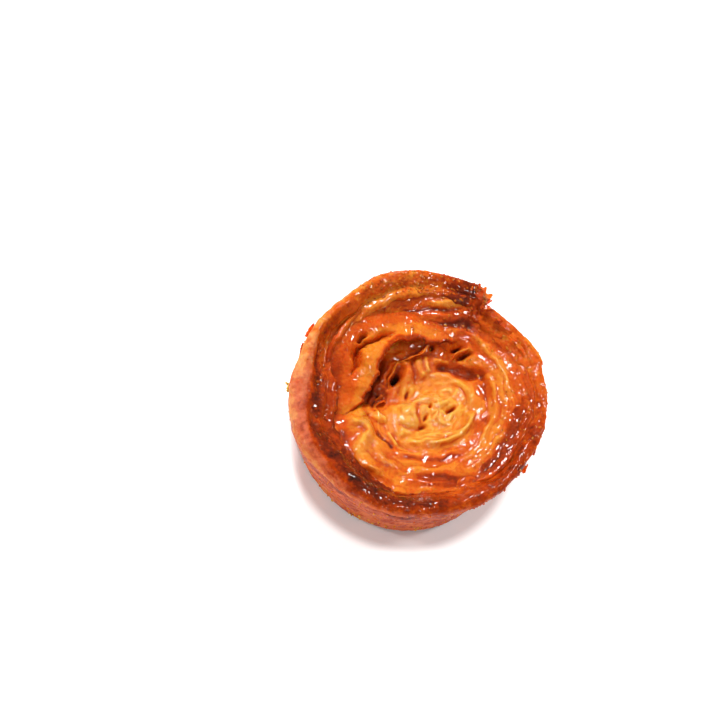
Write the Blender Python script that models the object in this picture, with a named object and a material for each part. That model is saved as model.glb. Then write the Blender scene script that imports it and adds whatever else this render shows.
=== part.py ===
"""Kouign amann: a laminated butter pastry, rolled up and baked in a round tin.

One solid of dough. It stands on its flat base at the origin, +Z up, in metres. The wall flares
from the base to a rolled lip; inside the lip the turns of the dough sink towards a low centre.
+X runs to the side where the turns lie closest, +Y to the thick top of the lip, and the outer
turn ends between them, in a straight notched stretch of the lip.
"""

import math
from collections import namedtuple

import bmesh
import bpy
from mathutils import Vector, noise

# Driving dimensions
RIM_RADIUS = 0.045
BASE_RADIUS = 0.037
HEIGHT = 0.040
BASE_ROUNDING = 0.0025
LIP_DROP = 0.0040  # from the crest of the lip down to its widest part
LIP_THICKNESS = 0.0070  # from the widest part in to the crest, twice
CENTRE_HEIGHT = 0.0225
FLOOR_RISE = 0.0080  # how far the bowl's floor climbs before the lip
FLOOR_RISE_CHANGE = 0.0044  # more on the shallow side, less opposite
SHALLOW_SIDE = -25.0  # in degrees from +X
MIDDLE_RADIUS = 0.0060
LIP_FOOT = 0.0345  # where the lip's inner side meets the floor
BLEND = 3.0  # above 1, where two folds meet the higher one shows

STEPS_ROUND = 96
WALL_RINGS = 7
FACE_RINGS = 34
EDGE_STEPS = 5  # of each quarter turn, round the base's edge and over the lip
FLAT_BASE_SHARE = 0.90  # of the base's radius, which stays flat

# The straight stretch where the outer turn of dough ends, in degrees from +X
NOTCH_START = 18.0
NOTCH_END = 60.0
NOTCH_DEPTH = 0.0032
NOTCH_FULL = 0.65  # of the stretch, where the notch reaches its depth
NOTCH_LEFT = 0.80  # of the stretch, where it starts to step up onto the outer turn
NOTCH_DROP = 0.0018  # how much lower the lip runs along the notch
TURN_STEP = 0.0016  # how far the outer turn stands past its own start

# Unevenness of the lip, in (waves round the lip, size, shift) terms
OUTLINE_WAVES = ((2, 0.0004, 1.1), (3, 0.0005, 0.4), (7, 0.00025, 2.0))
LIP_WAVES = ((2, 0.0006, 2.4), (3, 0.0004, 0.2), (5, 0.0003, 1.3))
LIP_SAG = 0.0020  # how far the dough's lip stays below the full height
LIP_TILT = 0.0012  # how much lower still it is on the shallow side, and higher opposite

# Small unevenness of the wall and of the face
BELLY = 0.0010  # how far the wall bulges between base and lip
WRINKLE_DEPTH = 0.0006
WRINKLE_SCALE = 140.0  # per metre round the wall
WRINKLE_STRETCH = 0.35  # of that scale up the wall, as wrinkles run upwards
WRINKLE_FOOT = 0.0060  # the height over which they grow from the smooth base
LIFT_START = 0.0260  # the height from which the wall follows the lip up and down
LIFT_SPAN = 0.0100
CRUMPLE_DEPTH = 0.0007
CRUMPLE_SCALE = 180.0
CRUMPLE_EDGE = 0.0400  # the radius at which the crumpled face meets the lip
CRUMPLE_FADE = 0.0060
FOLD_FADE = 0.16  # of a fold's span, over which it rises at each end

# A fold is a ridge of dough that runs round the face, from one angle over a span. It has a
# radius at its start, middle and end, and falls off over its own widths to each side.
Fold = namedtuple("Fold", "start span radii height inward outward")
FOLDS = (
    Fold(86, 132, (0.0262, 0.0264, 0.0330), 0.0062, 0.0019, 0.0056),  # left layer
    Fold(30, 192, (0.0240, 0.0148, 0.0310), 0.0084, 0.0019, 0.0068),  # loose flap
    Fold(48, 92, (0.0335, 0.0335, 0.0350), 0.0040, 0.0022, 0.0026),  # top roll
    Fold(-100, 146, (0.0345, 0.0362, 0.0345), 0.0030, 0.0019, 0.0026),  # right, outer
    Fold(-104, 136, (0.0288, 0.0306, 0.0292), 0.0034, 0.0019, 0.0026),  # right, middle
    Fold(-118, 128, (0.0228, 0.0250, 0.0225), 0.0040, 0.0022, 0.0026),  # right, inner
    Fold(-162, 90, (0.0345, 0.0334, 0.0345), 0.0036, 0.0022, 0.0026),  # bottom, outer
    Fold(-166, 92, (0.0280, 0.0262, 0.0275), 0.0052, 0.0024, 0.0028),  # bottom, inner
)

# A mound is a soft lump of the middle turns: its place, radius and height.
Mound = namedtuple("Mound", "x y radius height")
MOUNDS = (
    Mound(0.0000, -0.0130, 0.0095, 0.0052),
    Mound(0.0120, -0.0040, 0.0065, 0.0044),
    Mound(-0.0020, 0.0070, 0.0060, 0.0030),
)

CRUST_COLOUR = (0.62, 0.22, 0.05, 1.0)
CRUST_ROUGHNESS = 0.35


def smooth_step(value):
    """0 below 0, 1 above 1, and an even S between them."""
    value = min(1.0, max(0.0, value))
    return value * value * (3.0 - 2.0 * value)


def waves(angle, terms):
    """The sum of size * sin(count * angle + shift) over (count, size, shift) terms."""
    return sum(size * math.sin(count * angle + shift) for count, size, shift in terms)


def degrees_past(angle, start):
    """How many degrees the angle lies past start, going anticlockwise."""
    return (math.degrees(angle) - start) % 360.0


def notch(angle):
    """1 just before the outer turn's end, and 0 away from the straight stretch of the lip.

    It grows slowly from the start of that stretch and ends in a step up onto the outer turn.
    """
    share = degrees_past(angle, NOTCH_START) / (NOTCH_END - NOTCH_START)
    if share > 1.0:
        return 0.0
    end = smooth_step((share - NOTCH_LEFT) / (1.0 - NOTCH_LEFT))
    return smooth_step(share / NOTCH_FULL) * (1.0 - end)


def outline_change(angle):
    """How far the lip stands out of a true circle."""
    turn = degrees_past(angle, NOTCH_END) / (360.0 - NOTCH_END + NOTCH_START)
    step = TURN_STEP * (0.5 - turn) if turn < 1.0 else 0.0
    return step + waves(angle, OUTLINE_WAVES) - NOTCH_DEPTH * notch(angle)


def lip_height_change(angle):
    """How far the crest of the lip is above or below its usual height."""
    low_side = LIP_TILT * math.cos(angle - math.radians(SHALLOW_SIDE))
    return waves(angle, LIP_WAVES) - low_side - LIP_SAG - NOTCH_DROP * notch(angle)


def fold_rise(fold, radius, angle):
    """The height that one fold adds at a place on the face."""
    share = degrees_past(angle, fold.start) / fold.span
    if share > 1.0:
        return 0.0
    first, middle, last = fold.radii
    bend = middle - (first + last) / 2.0
    crest = first + (last - first) * share + bend * math.sin(math.pi * share)
    away = radius - crest
    width = fold.outward if away > 0.0 else fold.inward
    fade = smooth_step(min(share, 1.0 - share) / FOLD_FADE)
    return fold.height * fade * math.exp(-((away / width) ** 2))


def bowl_height(radius, angle):
    """The sunken face of the roll with no folds on it. It is shallow where the turns lie close."""
    rise = FLOOR_RISE + FLOOR_RISE_CHANGE * math.cos(angle - math.radians(SHALLOW_SIDE))
    floor = smooth_step((radius - MIDDLE_RADIUS) / (LIP_FOOT - MIDDLE_RADIUS)) * rise
    lip = smooth_step((radius - LIP_FOOT) / (RIM_RADIUS - LIP_THICKNESS / 2.0 - LIP_FOOT))
    return CENTRE_HEIGHT + floor + (HEIGHT - CENTRE_HEIGHT - rise) * lip


def face_height(radius, angle):
    """The height of the folded face at a place."""
    rises = [fold_rise(fold, radius, angle) for fold in FOLDS]
    height = bowl_height(radius, angle) + sum(rise ** BLEND for rise in rises) ** (1.0 / BLEND)
    place = Vector((radius * math.cos(angle), radius * math.sin(angle), 0.0))
    for mound in MOUNDS:
        away = (place - Vector((mound.x, mound.y, 0.0))).length / mound.radius
        height += mound.height * math.exp(-away * away)
    settle = smooth_step((CRUMPLE_EDGE - radius) / CRUMPLE_FADE)
    crumple = CRUMPLE_DEPTH * noise.noise(place * CRUMPLE_SCALE) * settle
    return height + crumple + lip_height_change(angle) * smooth_step(radius / CRUMPLE_EDGE)


def wall_profile():
    """(radius, height) pairs from the base's edge up to the widest part of the lip."""
    top = HEIGHT - LIP_DROP
    points = [(BASE_RADIUS * FLAT_BASE_SHARE, 0.0)]
    for i in range(1, EDGE_STEPS):
        turn = math.radians(90.0 * i / (EDGE_STEPS - 1))
        inset = BASE_ROUNDING * (1.0 - math.sin(turn))
        points.append((BASE_RADIUS - inset, BASE_ROUNDING * (1.0 - math.cos(turn))))
    for i in range(1, WALL_RINGS + 1):
        share = i / WALL_RINGS
        belly = BELLY * math.sin(math.pi * share)
        radius = BASE_RADIUS + (RIM_RADIUS - BASE_RADIUS) * share + belly
        points.append((radius, BASE_ROUNDING + (top - BASE_ROUNDING) * share))
    return points


def lip_profile():
    """(radius, height) pairs over the outer half of the rolled lip, up to its crest."""
    half = LIP_THICKNESS / 2.0
    points = []
    for i in range(1, EDGE_STEPS):
        turn = math.radians(90.0 * i / EDGE_STEPS)
        across = half * (1.0 - math.cos(turn))
        points.append((RIM_RADIUS - across, HEIGHT - LIP_DROP * (1.0 - math.sin(turn))))
    return points


def add_ring(bm, radius, height):
    """A ring of loose vertices round the axis."""
    step = 2.0 * math.pi / STEPS_ROUND
    return [
        bm.verts.new((radius * math.cos(i * step), radius * math.sin(i * step), height))
        for i in range(STEPS_ROUND)
    ]


def bridge(bm, lower, upper):
    """Faces between two neighbouring rings, facing out when upper is further along."""
    for i in range(STEPS_ROUND):
        j = (i + 1) % STEPS_ROUND
        bm.faces.new((lower[i], lower[j], upper[j], upper[i]))


def close_ring(bm, ring, height, up):
    """A fan of faces from a ring to a vertex on the axis."""
    middle = bm.verts.new((0.0, 0.0, height))
    for i in range(STEPS_ROUND):
        j = (i + 1) % STEPS_ROUND
        pair = (ring[i], ring[j]) if up else (ring[j], ring[i])
        bm.faces.new((*pair, middle))


def shape_wall(vertex):
    """Gives a wall vertex the lip's outline, more of it the higher up it is, and wrinkles."""
    angle = math.atan2(vertex.co.y, vertex.co.x)
    x, y, z = vertex.co
    wrinkle = noise.noise(Vector((x, y, z * WRINKLE_STRETCH)) * WRINKLE_SCALE)
    grow = outline_change(angle) * smooth_step(z / (HEIGHT - LIP_DROP))
    grow += WRINKLE_DEPTH * wrinkle * smooth_step(z / WRINKLE_FOOT)
    radius = math.hypot(x, y) + grow
    lift = lip_height_change(angle) * smooth_step((z - LIFT_START) / LIFT_SPAN)
    vertex.co = (radius * math.cos(angle), radius * math.sin(angle), z + lift)


def shape_face(vertex, widest):
    """Moves a face vertex out to the lip's outline and up onto the folds."""
    radius = math.hypot(vertex.co.x, vertex.co.y)
    angle = math.atan2(vertex.co.y, vertex.co.x)
    grown = radius + outline_change(angle) * smooth_step(radius / widest)
    height = face_height(radius, angle)
    vertex.co = (grown * math.cos(angle), grown * math.sin(angle), height)


def build_pastry():
    """The whole pastry as one closed mesh of rings, from the base up and over into the bowl."""
    bm = bmesh.new()
    outside = [add_ring(bm, *point) for point in wall_profile() + lip_profile()]
    crest = RIM_RADIUS - LIP_THICKNESS / 2.0
    face = [add_ring(bm, crest * (1.0 - i / FACE_RINGS), 0.0) for i in range(FACE_RINGS)]
    for ring in outside[1:]:
        for vertex in ring:
            shape_wall(vertex)
    for ring in face:
        for vertex in ring:
            shape_face(vertex, crest)
    rings = outside + face
    for lower, upper in zip(rings, rings[1:]):
        bridge(bm, lower, upper)
    close_ring(bm, outside[0], 0.0, up=False)
    close_ring(bm, face[-1], face_height(0.0, 0.0), up=True)
    mesh = bpy.data.meshes.new("kouign_amann")
    bm.to_mesh(mesh)
    bm.free()
    mesh.shade_smooth()
    pastry = bpy.data.objects.new("kouign_amann", mesh)
    bpy.context.collection.objects.link(pastry)
    return pastry


def crust_material():
    """Caramelised dough: orange brown, with a half gloss."""
    material = bpy.data.materials.new("caramelised_crust")
    material.use_nodes = True
    shader = material.node_tree.nodes["Principled BSDF"]
    shader.inputs["Base Color"].default_value = CRUST_COLOUR
    shader.inputs["Roughness"].default_value = CRUST_ROUGHNESS
    shader.inputs["Metallic"].default_value = 0.0
    return material


def main():
    """Clears the scene and builds the pastry in it."""
    for old in list(bpy.data.objects):
        bpy.data.objects.remove(old)
    pastry = build_pastry()
    pastry.data.materials.append(crust_material())


main()
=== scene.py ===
# %% [markdown]
# # A kouign amann, caramelised and flaky
# The pastry is one roll of laminated dough, baked in a round tin with butter and sugar. The packed
# solid gives its true size: a flat base, a flared wall and a rolled lip round a sunken face. This
# script keeps that frame and dresses it: the outer turn of dough, the inner turns, the torn leaf
# that hangs over a hollow, thin pleats, flakes and beads of caramel, all from meshes.
# Sizes below are in millimetres, because dough is easier to think about that way; `MM` turns them
# into the frame's metres.

# %% Open the frame
import math
from collections import namedtuple
from types import SimpleNamespace

import bpy
import numpy as np
from mathutils import Matrix, Vector


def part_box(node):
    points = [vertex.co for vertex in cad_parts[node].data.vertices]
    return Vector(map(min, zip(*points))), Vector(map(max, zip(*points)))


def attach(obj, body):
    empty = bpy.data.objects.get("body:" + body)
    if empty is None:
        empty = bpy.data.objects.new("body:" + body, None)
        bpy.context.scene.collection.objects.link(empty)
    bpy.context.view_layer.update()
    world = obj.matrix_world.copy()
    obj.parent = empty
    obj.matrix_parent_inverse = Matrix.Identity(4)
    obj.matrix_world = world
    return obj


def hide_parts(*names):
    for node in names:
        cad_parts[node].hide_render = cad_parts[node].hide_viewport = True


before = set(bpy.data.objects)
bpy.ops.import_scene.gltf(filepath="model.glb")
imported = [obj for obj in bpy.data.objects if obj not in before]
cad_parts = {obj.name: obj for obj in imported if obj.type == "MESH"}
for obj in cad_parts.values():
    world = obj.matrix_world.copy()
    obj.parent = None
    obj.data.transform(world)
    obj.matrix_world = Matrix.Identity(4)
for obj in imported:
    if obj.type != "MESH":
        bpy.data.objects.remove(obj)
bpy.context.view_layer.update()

MM = 0.001
NODE = "kouign_amann"
HIGHEST_BUMP = 1.4  # mm that the lip's highest bump stands above the lip's plane
_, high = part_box(NODE)
LIP_HEIGHT = round(high.z / MM, 1) - HIGHEST_BUMP
print("lip height", LIP_HEIGHT, "mm")

# %% [markdown]
# ## The camera
# The pastry is looked down on, a little from the front left, so that a crescent of its outer wall
# shows below the lip. A long lens stands far off, as for a product picture, which keeps the round
# lip round. The camera is aimed by building its three axes: it looks back along `towards`.

# %% Place the camera
TILT = math.radians(23.5)  # off the vertical
SIDE = math.radians(-115.0)  # round the pastry, from +X
DISTANCE = 0.9
PICTURE_WIDTH = 0.2421  # how much of the table the picture spans at the lip
AIM = Vector((-0.0211, 0.0085, LIP_HEIGHT * MM))  # the point in the middle of the picture


def aim_camera():
    """A camera that looks at AIM from the tilt and side above, with +Y up in the picture."""
    towards = Vector((math.sin(TILT) * math.cos(SIDE), math.sin(TILT) * math.sin(SIDE), math.cos(TILT)))
    up = (Vector((0, 1, 0)) - towards * towards.y).normalized()
    right = up.cross(towards)
    bpy.ops.object.camera_add()
    camera = bpy.context.object
    camera.name = "table_camera"
    place = AIM + towards * DISTANCE
    camera.matrix_world = Matrix((
        (right.x, up.x, towards.x, place.x),
        (right.y, up.y, towards.y, place.y),
        (right.z, up.z, towards.z, place.z),
        (0, 0, 0, 1),
    ))
    camera.data.lens = camera.data.sensor_width * DISTANCE / PICTURE_WIDTH
    camera.data.clip_start = 0.01
    bpy.context.scene.camera = camera
    return camera


camera = aim_camera()
print("camera", [round(v, 3) for v in camera.location], "lens", round(camera.data.lens, 1))

# %% [markdown]
# ## Table and light
# The table is a plain white sheet with a painted glow: it glows a little though it is no lamp,
# which washes out the lamps' shadows and keeps it white. In a round under the pastry it has no
# glow, so the contact shadow shows there, with a soft painted edge. A big soft light at the back
# models the folds, and smaller ones at the right, the front and the left give the caramel its
# sharp glints. The world is a dim white, so the dark hollows keep their depth.

# %% Set the table
TABLE_SIZE = 3.0
NEAR_GLOW, FAR_GLOW = 0.0, 0.60
GLOW_START, GLOW_FULL = 0.0380, 0.0430  # metres from the middle of the unlit round
GLOW_MIDDLE = (0.0005, -0.0050, 0.0)  # a little to the front, so the shadow shows there


def set_inputs(node, values):
    """Sets a node's own sockets, from a dictionary of their names."""
    for label, value in values.items():
        node.inputs[label].default_value = value


def table_with_painted_glow():
    """Plain white with a painted glow, which begins a little outside the pastry's foot."""
    white = bpy.data.materials.new("table_with_painted_glow")
    white.use_nodes = True
    tree = white.node_tree
    shader = tree.nodes["Principled BSDF"]
    set_inputs(shader, {"Base Color": (0.93, 0.93, 0.93, 1.0), "Roughness": 0.9, "Specular IOR Level": 0.0,
                        "Emission Color": (1.0, 0.99, 0.98, 1.0)})
    place = tree.nodes.new("ShaderNodeTexCoord")
    away = tree.nodes.new("ShaderNodeVectorMath")
    away.operation = "DISTANCE"
    away.inputs[1].default_value = GLOW_MIDDLE
    tree.links.new(place.outputs["Object"], away.inputs[0])
    glow = tree.nodes.new("ShaderNodeMapRange")
    glow.interpolation_type = "SMOOTHSTEP"
    set_inputs(glow, {"From Min": GLOW_START, "From Max": GLOW_FULL, "To Min": NEAR_GLOW, "To Max": FAR_GLOW})
    tree.links.new(away.outputs["Value"], glow.inputs["Value"])
    tree.links.new(glow.outputs["Result"], shader.inputs["Emission Strength"])
    return white


bpy.ops.mesh.primitive_plane_add(size=TABLE_SIZE)
table = bpy.context.object
table.name = "table"
table.data.materials.append(table_with_painted_glow())
print("table", TABLE_SIZE, "m wide")

# %% Light it
LIGHTS = (  # name, place in metres, size in metres, watts
    ("back_light", (-0.22, 0.62, 0.80), 0.24, 8.2),
    ("right_light", (0.62, 0.12, 0.80), 0.14, 3.0),
    ("front_fill", (0.00, -0.70, 0.90), 0.14, 2.8),
    ("left_light", (-0.75, 0.10, 0.60), 0.12, 2.4),
)
LIGHT_AIM = Vector((0, 0, 0.03))
WORLD_WHITE, WORLD_STRENGTH = (1.0, 0.985, 0.97, 1.0), 0.12


def area_light(name, place, size, power):
    """A square soft light at a place, turned to the pastry."""
    bpy.ops.object.light_add(type="AREA", location=place)
    lamp = bpy.context.object
    lamp.name = name
    lamp.data.size = size
    lamp.data.energy = power
    lamp.rotation_euler = (LIGHT_AIM - Vector(place)).to_track_quat("-Z", "Y").to_euler()


for light in LIGHTS:
    area_light(*light)
world = bpy.data.worlds.new("studio")
world.use_nodes = True
set_inputs(world.node_tree.nodes["Background"], {"Color": WORLD_WHITE, "Strength": WORLD_STRENGTH})
bpy.context.scene.world = world
bpy.context.scene.view_settings.view_transform = "Standard"
bpy.context.scene.view_settings.look = "None"
print("lights", [name for name, *_ in LIGHTS])

# %% [markdown]
# ## Noise for dough
# Baked dough is never smooth. One lattice of seeded random numbers, read between its points with
# a soft curve, gives a noise that is the same every run. Summing finer and weaker copies of it
# gives blisters and grain.

# %% Noise and easing helpers
LATTICE_SIDE = 64
BLISTER_JITTER = 0.42  # how far a blister may stand from the middle of its cell, in cells
BLISTER_REACH = 0.62  # its radius, in cells
LATTICE = np.random.default_rng(11).uniform(-1.0, 1.0, (LATTICE_SIDE,) * 3)


def ease(value):
    """0 below 0, 1 above 1, and an even S between them."""
    value = np.clip(value, 0.0, 1.0)
    return value * value * (3.0 - 2.0 * value)


def noise(x, y, z, size, seed=0):
    """Smooth noise from -1 to 1 at places in mm, whose lumps are about size mm wide."""
    shift = 7.31 * seed
    places = np.stack(np.broadcast_arrays(x / size + shift, y / size + shift, z / size), 0)
    cell = np.floor(places)
    part = places - cell
    part = part ** 3 * (part * (part * 6.0 - 15.0) + 10.0)
    cell = cell.astype(int)
    total = 0.0
    for corner in range(8):
        step = np.array([corner & 1, corner >> 1 & 1, corner >> 2 & 1])
        at = (cell + step.reshape((3,) + (1,) * (cell.ndim - 1))) % LATTICE_SIDE
        weight = 1.0
        for axis in range(3):
            weight = weight * (part[axis] if step[axis] else 1.0 - part[axis])
        total = total + weight * LATTICE[at[0], at[1], at[2]]
    return total


def layered_noise(x, y, z, size, octaves, seed=0):
    """Noise with finer, weaker copies of itself on top."""
    total, weight = 0.0, 1.0
    for octave in range(octaves):
        total = total + weight * noise(x, y, z, size / 2 ** octave, seed + octave)
        weight *= 0.5
    return total


def domes(x, y, z, size, seed=0):
    """Round blisters, one to each cell of about size mm: 1 at a blister's top, 0 between them."""
    places = np.stack(np.broadcast_arrays(x, y, z), 0) / size + 3.7 * seed
    cell = np.floor(places).astype(int)
    nearest = np.full(places.shape[1:], 9.0)
    for step in np.ndindex(3, 3, 3):
        near = cell + np.array(step).reshape((3,) + (1,) * (cell.ndim - 1)) - 1
        at = near % LATTICE_SIDE
        jitter = np.stack([LATTICE[at[0], at[1], at[2]], LATTICE[at[1], at[2], at[0]],
                           LATTICE[at[2], at[0], at[1]]]) * BLISTER_JITTER
        away = (((near + 0.5 + jitter - places) ** 2).sum(0)) ** 0.5
        nearest = np.minimum(nearest, away)
    return np.maximum(0.0, 1.0 - (nearest / BLISTER_REACH) ** 2)


def soft_limit(value, knee, limit):
    """The value itself up to the knee, then easing towards the limit."""
    over = limit - knee
    return np.minimum(value, knee) + over * np.tanh(np.maximum(value - knee, 0.0) / over)


def curve_through(points, at):
    """A smooth curve through (position, value) pairs, read at positions in between."""
    xs, ys = np.array(points, float).T
    slopes = np.gradient(ys, xs)
    index = np.clip(np.searchsorted(xs, at) - 1, 0, len(xs) - 2)
    gap = xs[index + 1] - xs[index]
    t = np.clip((at - xs[index]) / gap, 0.0, 1.0)
    start_part = (1 + 2 * t) * (1 - t) ** 2 * ys[index] + t * (1 - t) ** 2 * gap * slopes[index]
    end_part = t * t * (3 - 2 * t) * ys[index + 1] + t * t * (t - 1) * gap * slopes[index + 1]
    return start_part + end_part


def curve_round(points, angle):
    """A smooth curve through (angle, value) pairs that closes on itself after 360 degrees."""
    before, after = [(a - 360.0, v) for a, v in points[-2:]], [(a + 360.0, v) for a, v in points[:2]]
    looped = before + list(points) + after
    return curve_through(looped, points[0][0] + (angle - points[0][0]) % 360.0)


def polar(x, y):
    """Radius in mm and angle in degrees from +X, at places in mm."""
    return np.hypot(x, y), np.degrees(np.arctan2(y, x))


def degrees_past(angle, start):
    """How many degrees the angle lies past start, anticlockwise."""
    return (angle - start) % 360.0


def bump(angle, centre, width):
    """1 at an angle round the lip, fading to 0 over width degrees to each side."""
    away = np.abs((angle - centre + 180.0) % 360.0 - 180.0)
    return 1.0 - ease(away / width)


def sum_of_bumps(table, angle):
    """All the bumps of a table of (amount, centre, width), added up."""
    return sum(amount * bump(angle, centre, width) for amount, centre, width in table)


def read_places(mesh):
    """A mesh's vertices as an array of x, y, z in mm."""
    flat = np.empty(len(mesh.vertices) * 3)
    mesh.vertices.foreach_get("co", flat)
    return flat.reshape(-1, 3) / MM


def write_places(mesh, places):
    """Puts places in mm back into the mesh."""
    mesh.vertices.foreach_set("co", (places * MM).astype(np.float32).ravel())
    mesh.update()


def read_normals(mesh):
    """A mesh's vertex normals as an array."""
    flat = np.empty(len(mesh.vertices) * 3)
    mesh.vertex_normals.foreach_get("vector", flat)
    return flat.reshape(-1, 3)


def store(mesh, name, values):
    """Keeps one number for each vertex, for the materials to read."""
    layer = mesh.attributes.get(name) or mesh.attributes.new(name, "FLOAT", "POINT")
    layer.data.foreach_set("value", np.asarray(values, np.float32))


def store_oven_numbers(mesh, bake, caramel, painted_shade):
    """Keeps the three numbers that every dough material reads."""
    for name, values in (("bake", bake), ("caramel", caramel), ("painted_shade", painted_shade)):
        store(mesh, name, values + np.zeros(len(mesh.vertices)))


def recall(mesh, name):
    """Reads back one number for each vertex."""
    values = np.empty(len(mesh.vertices))
    mesh.attributes[name].data.foreach_get("value", values)
    return values


print("noise at the axis", round(float(noise(0.0, 0.0, 0.0, 4.0)), 3))

# %% [markdown]
# ## Modelling helpers
# Each piece starts as a primitive and is shaped in edit mode. Operators act on whatever is
# selected, so `start` clears the selection first, and `finish_piece` joins the piece to the frame:
# it rides on the body, hides the parts it replaces and gets its material.

# %% Edit mode helpers
def start():
    """Leaves edit mode and selects nothing."""
    if bpy.context.mode != "OBJECT":
        bpy.ops.object.mode_set(mode="OBJECT")
    bpy.ops.object.select_all(action="DESELECT")


def apply_modifier(piece, kind, **settings):
    """Adds a modifier with these settings and applies it."""
    modifier = piece.modifiers.new(kind.lower(), kind)
    for name, value in settings.items():
        setattr(modifier, name, value)
    bpy.context.view_layer.objects.active = piece
    bpy.ops.object.modifier_apply(modifier=modifier.name)


def smooth_levels(piece, levels):
    """Rounds the piece with a subdivision surface."""
    apply_modifier(piece, "SUBSURF", levels=levels, render_levels=levels)


def turn_faces_out():
    """In edit mode, makes every face look outwards, and leaves edit mode."""
    bpy.ops.mesh.select_all(action="SELECT")
    bpy.ops.mesh.normals_make_consistent(inside=False)
    bpy.ops.object.mode_set(mode="OBJECT")


def join_pieces(pieces):
    """One object from several."""
    start()
    for piece in pieces:
        piece.select_set(True)
    bpy.context.view_layer.objects.active = pieces[0]
    bpy.ops.object.join()
    return bpy.context.object


def finish_piece(piece, name, material, replaced=()):
    """Names the piece, shades it smooth and ties it to the frame."""
    piece.name = piece.data.name = name
    piece.data.materials.clear()
    piece.data.materials.append(material)
    piece.data.shade_smooth()
    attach(piece, "root")
    if replaced:
        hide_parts(*replaced)
    triangles = sum(len(face.vertices) - 2 for face in piece.data.polygons)
    print(name, len(piece.data.vertices), "vertices,", triangles, "triangles")
    return piece


start()
print("selected", len(bpy.context.selected_objects), "objects")

# %% [markdown]
# ## One colour scale for the oven
# Dough goes from cream through gold and orange to mahogany as it bakes, and caramel makes it
# darker, redder and glossier. So every material reads the same few numbers from its mesh: `bake`
# (0 raw cream, 1 burnt), `caramel` (how much glaze lies on it) and `painted_shade` (painted shade,
# stronger the deeper it sits between layers). A shader node group turns them into colour,
# roughness, coat and height, and each material adds its own strength of grain.

# %% Build the oven colour group
OVEN_COLOURS = (
    (0.00, (0.92, 0.60, 0.20)),
    (0.17, (0.85, 0.42, 0.058)),
    (0.36, (0.78, 0.235, 0.020)),
    (0.54, (0.66, 0.100, 0.006)),
    (0.70, (0.42, 0.042, 0.003)),
    (0.85, (0.18, 0.017, 0.003)),
    (1.00, (0.05, 0.009, 0.005)),
)
# how fine the mottling is, in lumps to the metre
BROAD_GRAIN, FINE_GRAIN, SANDY_GRAIN, BLISTER_GRAIN = 170.0, 900.0, 2600.0, 620.0
# painted shade: SHADE_BAKE is how much darker the painted shade of a hollow makes the dough
SHADE_BAKE, CARAMEL_BAKE = 0.36, 0.10  # how much darker a hollow and a glaze make the dough
DRY_GREY, DRY_ROUGHNESS = 0.11, 0.22


def new_group(name, inputs, outputs):
    """An empty shader group with named sockets, its tree, and its input and output nodes."""
    tree = bpy.data.node_groups.new(name, "ShaderNodeTree")
    for label, kind, value in inputs:
        socket = tree.interface.new_socket(label, in_out="INPUT", socket_type=kind)
        if value is not None:
            socket.default_value = value
    for label, kind in outputs:
        tree.interface.new_socket(label, in_out="OUTPUT", socket_type=kind)
    return tree, tree.nodes.new("NodeGroupInput"), tree.nodes.new("NodeGroupOutput")


def math_node(tree, operation, first, second=None, third=None, clamp=False):
    """A Math node fed by sockets or plain numbers; returns its output."""
    node = tree.nodes.new("ShaderNodeMath")
    node.operation = operation
    node.use_clamp = clamp
    for index, value in enumerate((first, second, third)):
        if value is None:
            continue
        if isinstance(value, (int, float)):
            node.inputs[index].default_value = value
        else:
            tree.links.new(value, node.inputs[index])
    return node.outputs[0]


def noise_node(tree, place, scale, detail=2.0, roughness=0.5, distortion=0.0):
    """A 3D noise texture on a place; returns its factor."""
    node = tree.nodes.new("ShaderNodeTexNoise")
    set_inputs(node, {"Scale": scale, "Detail": detail, "Roughness": roughness, "Distortion": distortion})
    tree.links.new(place, node.inputs["Vector"])
    return node.outputs[0]


def off_middle(tree, factor, amount):
    """How far a noise is above or below its middle, times an amount."""
    return math_node(tree, "MULTIPLY", math_node(tree, "SUBTRACT", factor, 0.5), amount)


def oven_ramp(tree, bake):
    """The colour for a bake, on the oven's own scale."""
    ramp = tree.nodes.new("ShaderNodeValToRGB")
    ramp.color_ramp.interpolation = "EASE"
    while len(ramp.color_ramp.elements) < len(OVEN_COLOURS):
        ramp.color_ramp.elements.new(0.5)
    for element, (position, colour) in zip(ramp.color_ramp.elements, OVEN_COLOURS):
        element.position = position
        element.color = (*colour, 1.0)
    tree.links.new(bake, ramp.inputs[0])
    return ramp.outputs[0]


def blister_height(tree, place, strength):
    """Little round blisters in the crust, times a strength."""
    cells = tree.nodes.new("ShaderNodeTexVoronoi")
    cells.feature = "SMOOTH_F1"
    set_inputs(cells, {"Scale": BLISTER_GRAIN, "Smoothness": 0.6})
    tree.links.new(place, cells.inputs["Vector"])
    return math_node(tree, "MULTIPLY", math_node(tree, "SUBTRACT", 0.7, cells.outputs["Distance"]), strength)


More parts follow.
